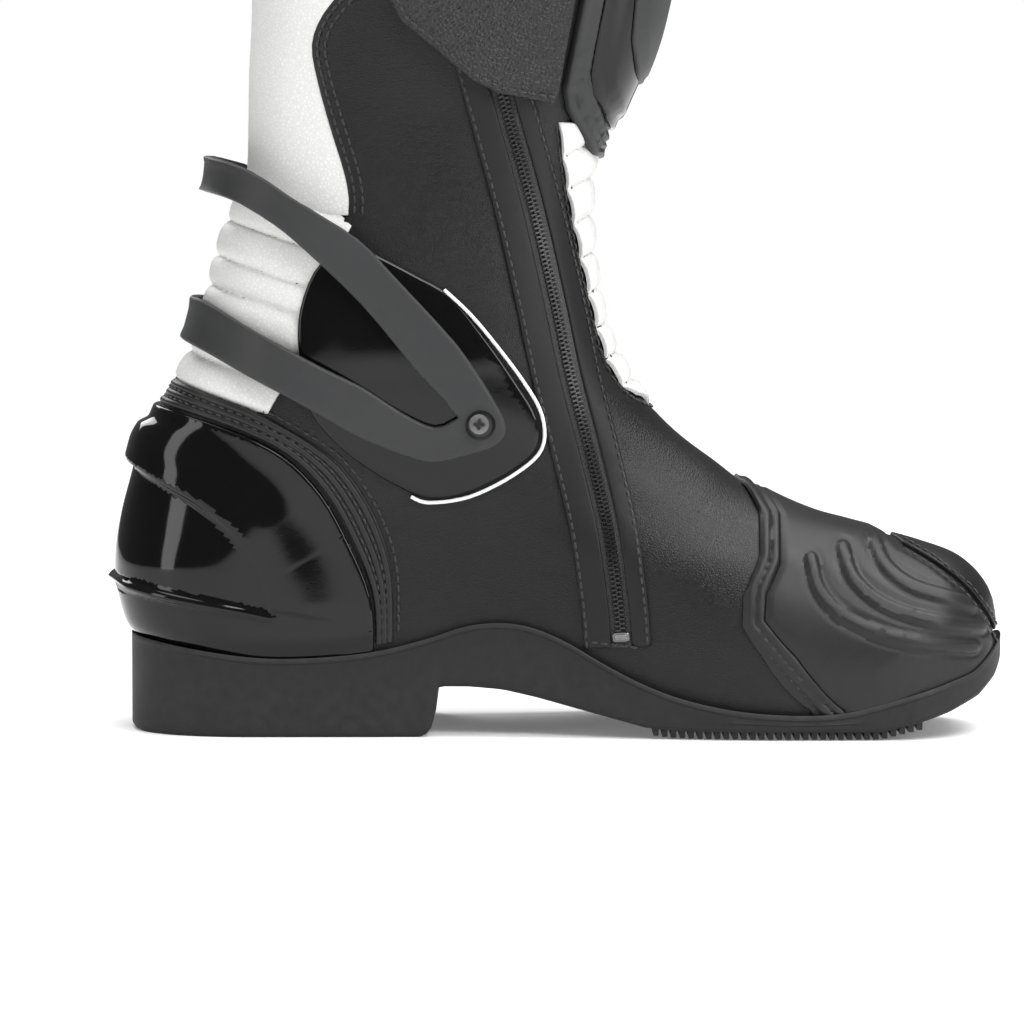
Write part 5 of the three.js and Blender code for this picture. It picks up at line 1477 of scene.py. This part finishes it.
def top_k(s, drop):
    """The pattern height of the boot's top edge all round, less a drop."""
    k = np.full(len(s), 150.0)
    for _ in range(8):
        x = last_point(s, k, "front")[:, 0]
        k = top_height(x) - FAN[1] - drop
    return k


def collar_rows(s):
    """Pattern heights from the padding's lower edge to its top, all round."""
    high, low = top_k(s, 0.9), top_k(s, 30.0)
    return low[:, None] + (high - low)[:, None] * np.linspace(0, 1, 31)[None]


def collar_inner(s, v):
    """The padding's inner face: two soft rolls."""
    roll = np.abs(np.sin(np.clip(v, 0, 1) * 2 * math.pi)) ** 0.55
    return -2.0 - 1.6 - 4.6 * roll + 0.25 * np.sin(s * 0.5) * roll


collar = ring_piece("collar_padding_rolls", collar_rows, "lining_cloth",
                    lambda s, v: -1.75 + 0 * s * v, collar_inner)
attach(collar, "shaft")
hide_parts("collar_padding")


def lining_rows(s):
    """Pattern heights from low in the foot up to the padding, all round."""
    high = top_k(s, 31.0)
    return -QUARTER - 52 + (high + QUARTER + 52)[:, None] * np.linspace(0, 1, 90)[None]


lining = ring_piece("cloth_lining", lining_rows, "lining_cloth", lambda s, v: -1.75 + 0 * s * v,
                    lambda s, v: -3.6 + 0.18 * np.sin(v * 160) * np.sin(s * 0.3))
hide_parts("shaft_lining", "foot_lining")
across_ankle(lining)


def make_footbed():
    """A moulded insole with a cupped heel."""
    plan = plan_outline(-7.0, 40.0)
    x = np.linspace(-42, 226, 80)
    left, right = (np.interp(x, plan[s][:, 0], plan[s][:, 1]) for s in (INNER, OUTER))
    rings = []
    for xi, a, b in zip(x, left, right):
        end = math.sqrt(max(0.02, 1 - max(0, (abs(xi - 92) - 104) / 30) ** 2))
        middle, half = (a + b) / 2, (b - a) / 2 * end
        z = float(sole_height(xi)) + 1.5
        cup = 5.0 * (1 - smoothstep(xi, 0, 60))
        wave = 0.12 * math.sin(xi * 1.3)
        ring = [(xi, middle + half * u, z + 4.5 + cup * abs(u) ** 3 + wave * (abs(u) < 0.9))
                for u in np.linspace(-1, 1, 17)]
        ring += [(xi, middle + half * u, z) for u in np.linspace(0.98, -0.98, 9)]
        rings.append(ring)
    n = len(rings[0])
    f = [(r * n + i, (r + 1) * n + i, (r + 1) * n + (i + 1) % n, r * n + (i + 1) % n)
         for r in range(len(rings) - 1) for i in range(n)]
    f += [tuple(range(n)), tuple((len(rings) - 1) * n + i for i in range(n))[::-1]]
    return new_object("moulded_footbed", [p for r in rings for p in r], [t[::-1] for t in f],
                      "lining_cloth", 40)


bed = make_footbed()
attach(bed, "foot")
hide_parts("footbed")
print("inside:", MADE[-3:])

# %% [markdown]
# ## Seams
# Stitches are what makes leather read as sewn. Every seam line is drawn beside the edge it holds; the rows
# of one body are one mesh, and rows that cross the ankle are fixed pieces, like the leather.

# %% Stitch rows
def rows_on(lines, side_list, lift, seam="front"):
    """Each line laid on each of the sides, as places for stitches."""
    return [on_last(line, side, lift, seam, step=0.9) for line in lines for side in side_list]


BOTH = (INNER, OUTER)
edge_rows = [beside(white_edge, -d) for d in (2.2, 4.8)]
calf_seams = sewing("calf_seams", rows_on(edge_rows, BOTH, 0.25), "black_thread")
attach(calf_seams, "shaft")


def valley_lines(marks, x, height, shown):
    """A line along each valley between two ribs, cut to the stretch that shows."""
    lines = []
    for mark in marks[1:-1]:
        z = height(mark, x)
        keep = shown(x, z)
        if keep.sum() > 4:
            lines.append(np.stack([x, z], 1)[keep])
    return lines


rib_rows = valley_lines(
    HEEL_MARKS, np.linspace(-40, 22, 70), lambda mark, x: mark - 0.33 * (x + 20),
    lambda x, z: (x > back_of(z) + 0.6) & (x < np.interp(z, stretch_front[:, 1], stretch_front[:, 0]) - 1.5))
heel_thread = sewing("heel_rib_seams", rows_on(rib_rows, BOTH, -0.35, "back"), "black_thread")
front_rows = valley_lines(
    FRONT_MARKS, np.linspace(90, 125, 50), lambda mark, x: mark + 0.55 * (x - 104),
    lambda x, z: (x < front_of(z) - 0.6) & (x > np.interp(z, front_edge[:, 1], front_edge[:, 0]) + 1.2))
front_thread = sewing("instep_rib_seams", rows_on(front_rows, BOTH, -0.55), "black_thread")
zip_rows = [beside(ZIP, -11.4), beside(ZIP, 8.6), np.array([[99.8, 32.2], [118.6, 30.2]])]
zip_thread = sewing("zip_seams", rows_on(zip_rows, (INNER,), 1.62), "black_thread")
leather_rows = [beside(front_edge, 2.0), beside(front_edge, 4.4), beside(stretch_front, -2.0)]
leather_thread = sewing("ankle_seams", rows_on(leather_rows, BOTH, 0.25), "black_thread")
for piece in (heel_thread, front_thread, zip_thread, leather_thread):
    across_ankle(piece)
flap_line = beneath(FLAP[1:9], FLAP_TOP)
PATCH_SEAM = np.array([[36.8, 252], [41.5, 245.3], [47.6, 241.2], [51.8, 243], [61.5, 248], [70.5, 255]])
patch_line = beneath(PATCH_SEAM, FLAP_TOP)
flap_thread = sewing("flap_seams", rows_on([beside(flap_line, 2.2), patch_line], (INNER,), 6.95),
                     "black_thread")
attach(flap_thread, "flap")
foot_rows = [round_back(between(share), 1.35) for share in (0.33, 0.67)]
foot_rows += rows_on([beside(COLLAR[10:], 2.0)], BOTH, 0.25, "back")
foot_rows += [on_last(beside(np.array(PAD_FRONT), d), INNER, 2.4 if d > 0 else 1.5, step=0.9)
              for d in (2.0, -1.6)]
foot_rows += [on_last(beneath(np.array(TRIM_REAR) + [3.2, 0], 2.0), INNER, 1.3, step=0.9)]
foot_thread = sewing("foot_seams", foot_rows, "black_thread")
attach(foot_thread, "foot")
panel_line = spline(PANEL, 4)
panel_thread = sewing("panel_seams", rows_on([beside(panel_line, -d) for d in (2.0, 4.4)], (OUTER,), 1.35),
                      "black_thread")
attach(panel_thread, "foot")

# %% [markdown]
# ## Floor, light and camera
# A broad sun from above gives the even light and the soft shadow. Five soft boxes, left, right, in front,
# over the instep and behind, give the leather and the glossy parts their reflections. The camera sees a
# white room, which lights the boot only weakly. It is level with the calf, about 1.7 m away, and looks
# slightly down.

# %% Stage
def make_floor():
    """A wide pale floor, cut into squares; it shines a little, so that no horizon shows."""
    m = bpy.data.materials.new("pale_floor")
    m.use_nodes = True
    shader = m.node_tree.nodes["Principled BSDF"]
    place = put(m.node_tree, "ShaderNodeTexCoord").outputs["Object"]
    tone = put(m.node_tree, "ShaderNodeTexNoise", {"Vector": place, "Scale": 3.0}).outputs["Fac"]
    m.node_tree.links.new(blend_colour(m.node_tree, tone, (0.93, 0.93, 0.93), (0.95, 0.95, 0.95)),
                          shader.inputs["Base Color"])
    shader.inputs["Roughness"].default_value = 0.6
    shader.inputs["Emission Color"].default_value = (1, 1, 1, 1)
    shader.inputs["Emission Strength"].default_value = 0.14
    MATERIALS["pale_floor"] = m
    rows, columns, size = 24, 24, 3000.0
    profile = [(-size + 2 * size * i / columns) for i in range(columns + 1)]
    v = [(x, y, 0.0) for y in profile for x in profile]
    f = [(r * (columns + 1) + c, r * (columns + 1) + c + 1, (r + 1) * (columns + 1) + c + 1,
          (r + 1) * (columns + 1) + c) for r in range(rows) for c in range(columns)]
    floor = new_object("floor", v, f, "pale_floor")
    return floor


def soft_box(name, place, aim, wide, tall, power):
    """A rectangle of light that faces aim; sizes in metres, power in watts."""
    data = bpy.data.lights.new(name, "AREA")
    data.shape, data.size, data.size_y, data.energy = "RECTANGLE", wide, tall, power
    lamp = bpy.data.objects.new(name, data)
    bpy.context.scene.collection.objects.link(lamp)
    lamp.location = place
    lamp.rotation_mode = "QUATERNION"
    lamp.rotation_quaternion = (Vector(aim) - Vector(place)).to_track_quat("-Z", "Y")
    return lamp


def broad_light(name, power, width, lean):
    """A sun of a wide angle; lean turns it about x and y."""
    data = bpy.data.lights.new(name, "SUN")
    data.energy, data.angle = power, width
    lamp = bpy.data.objects.new(name, data)
    bpy.context.scene.collection.objects.link(lamp)
    lamp.rotation_euler = (*lean, 0)
    return lamp


make_floor()
SHADE = 0.14  # the world's strength for everything but the camera, which sees it at 1
world = bpy.data.worlds.new("pale_room")
world.use_nodes = True
seen = world.node_tree.nodes.new("ShaderNodeLightPath").outputs["Is Camera Ray"]
strength = calc(world.node_tree, "ADD", calc(world.node_tree, "MULTIPLY", seen, 0.86), SHADE)
world.node_tree.nodes["Background"].inputs["Color"].default_value = (1, 1, 1, 1)
world.node_tree.links.new(strength, world.node_tree.nodes["Background"].inputs["Strength"])
bpy.context.scene.world = world
AIM = (0.07, 0.0, 0.10)
broad_light("broad_top_light", 2.75, math.radians(55), (math.radians(-7), math.radians(8)))
for name, place, wide, tall, power in (("left_box", (-1.15, -0.75, 0.50), 0.35, 1.3, 6.5),
                                       ("right_box", (1.15, -0.95, 0.75), 0.5, 1.2, 13),
                                       ("front_box", (0.45, -1.25, 1.25), 0.8, 0.5, 13),
                                       ("instep_box", (0.76, -0.25, 1.10), 0.45, 0.45, 5),
                                       ("rear_box", (-0.6, 1.2, 0.9), 0.8, 0.8, 8)):
    soft_box(name, place, AIM, wide, tall, power)

camera_data = bpy.data.cameras.new("camera")
camera_data.lens, camera_data.sensor_width = 177.0, 36.0
camera = bpy.data.objects.new("camera", camera_data)
bpy.context.scene.collection.objects.link(camera)
camera.location = (0.0744, -1.70, 0.187)
camera.rotation_mode = "QUATERNION"
camera.rotation_quaternion = (Vector((0.0744, 0.0, 0.0724)) - camera.location).to_track_quat("-Z", "Y")
bpy.context.scene.camera = camera
bpy.context.scene.view_settings.view_transform = "Standard"
print("camera", [round(v, 3) for v in camera.location])
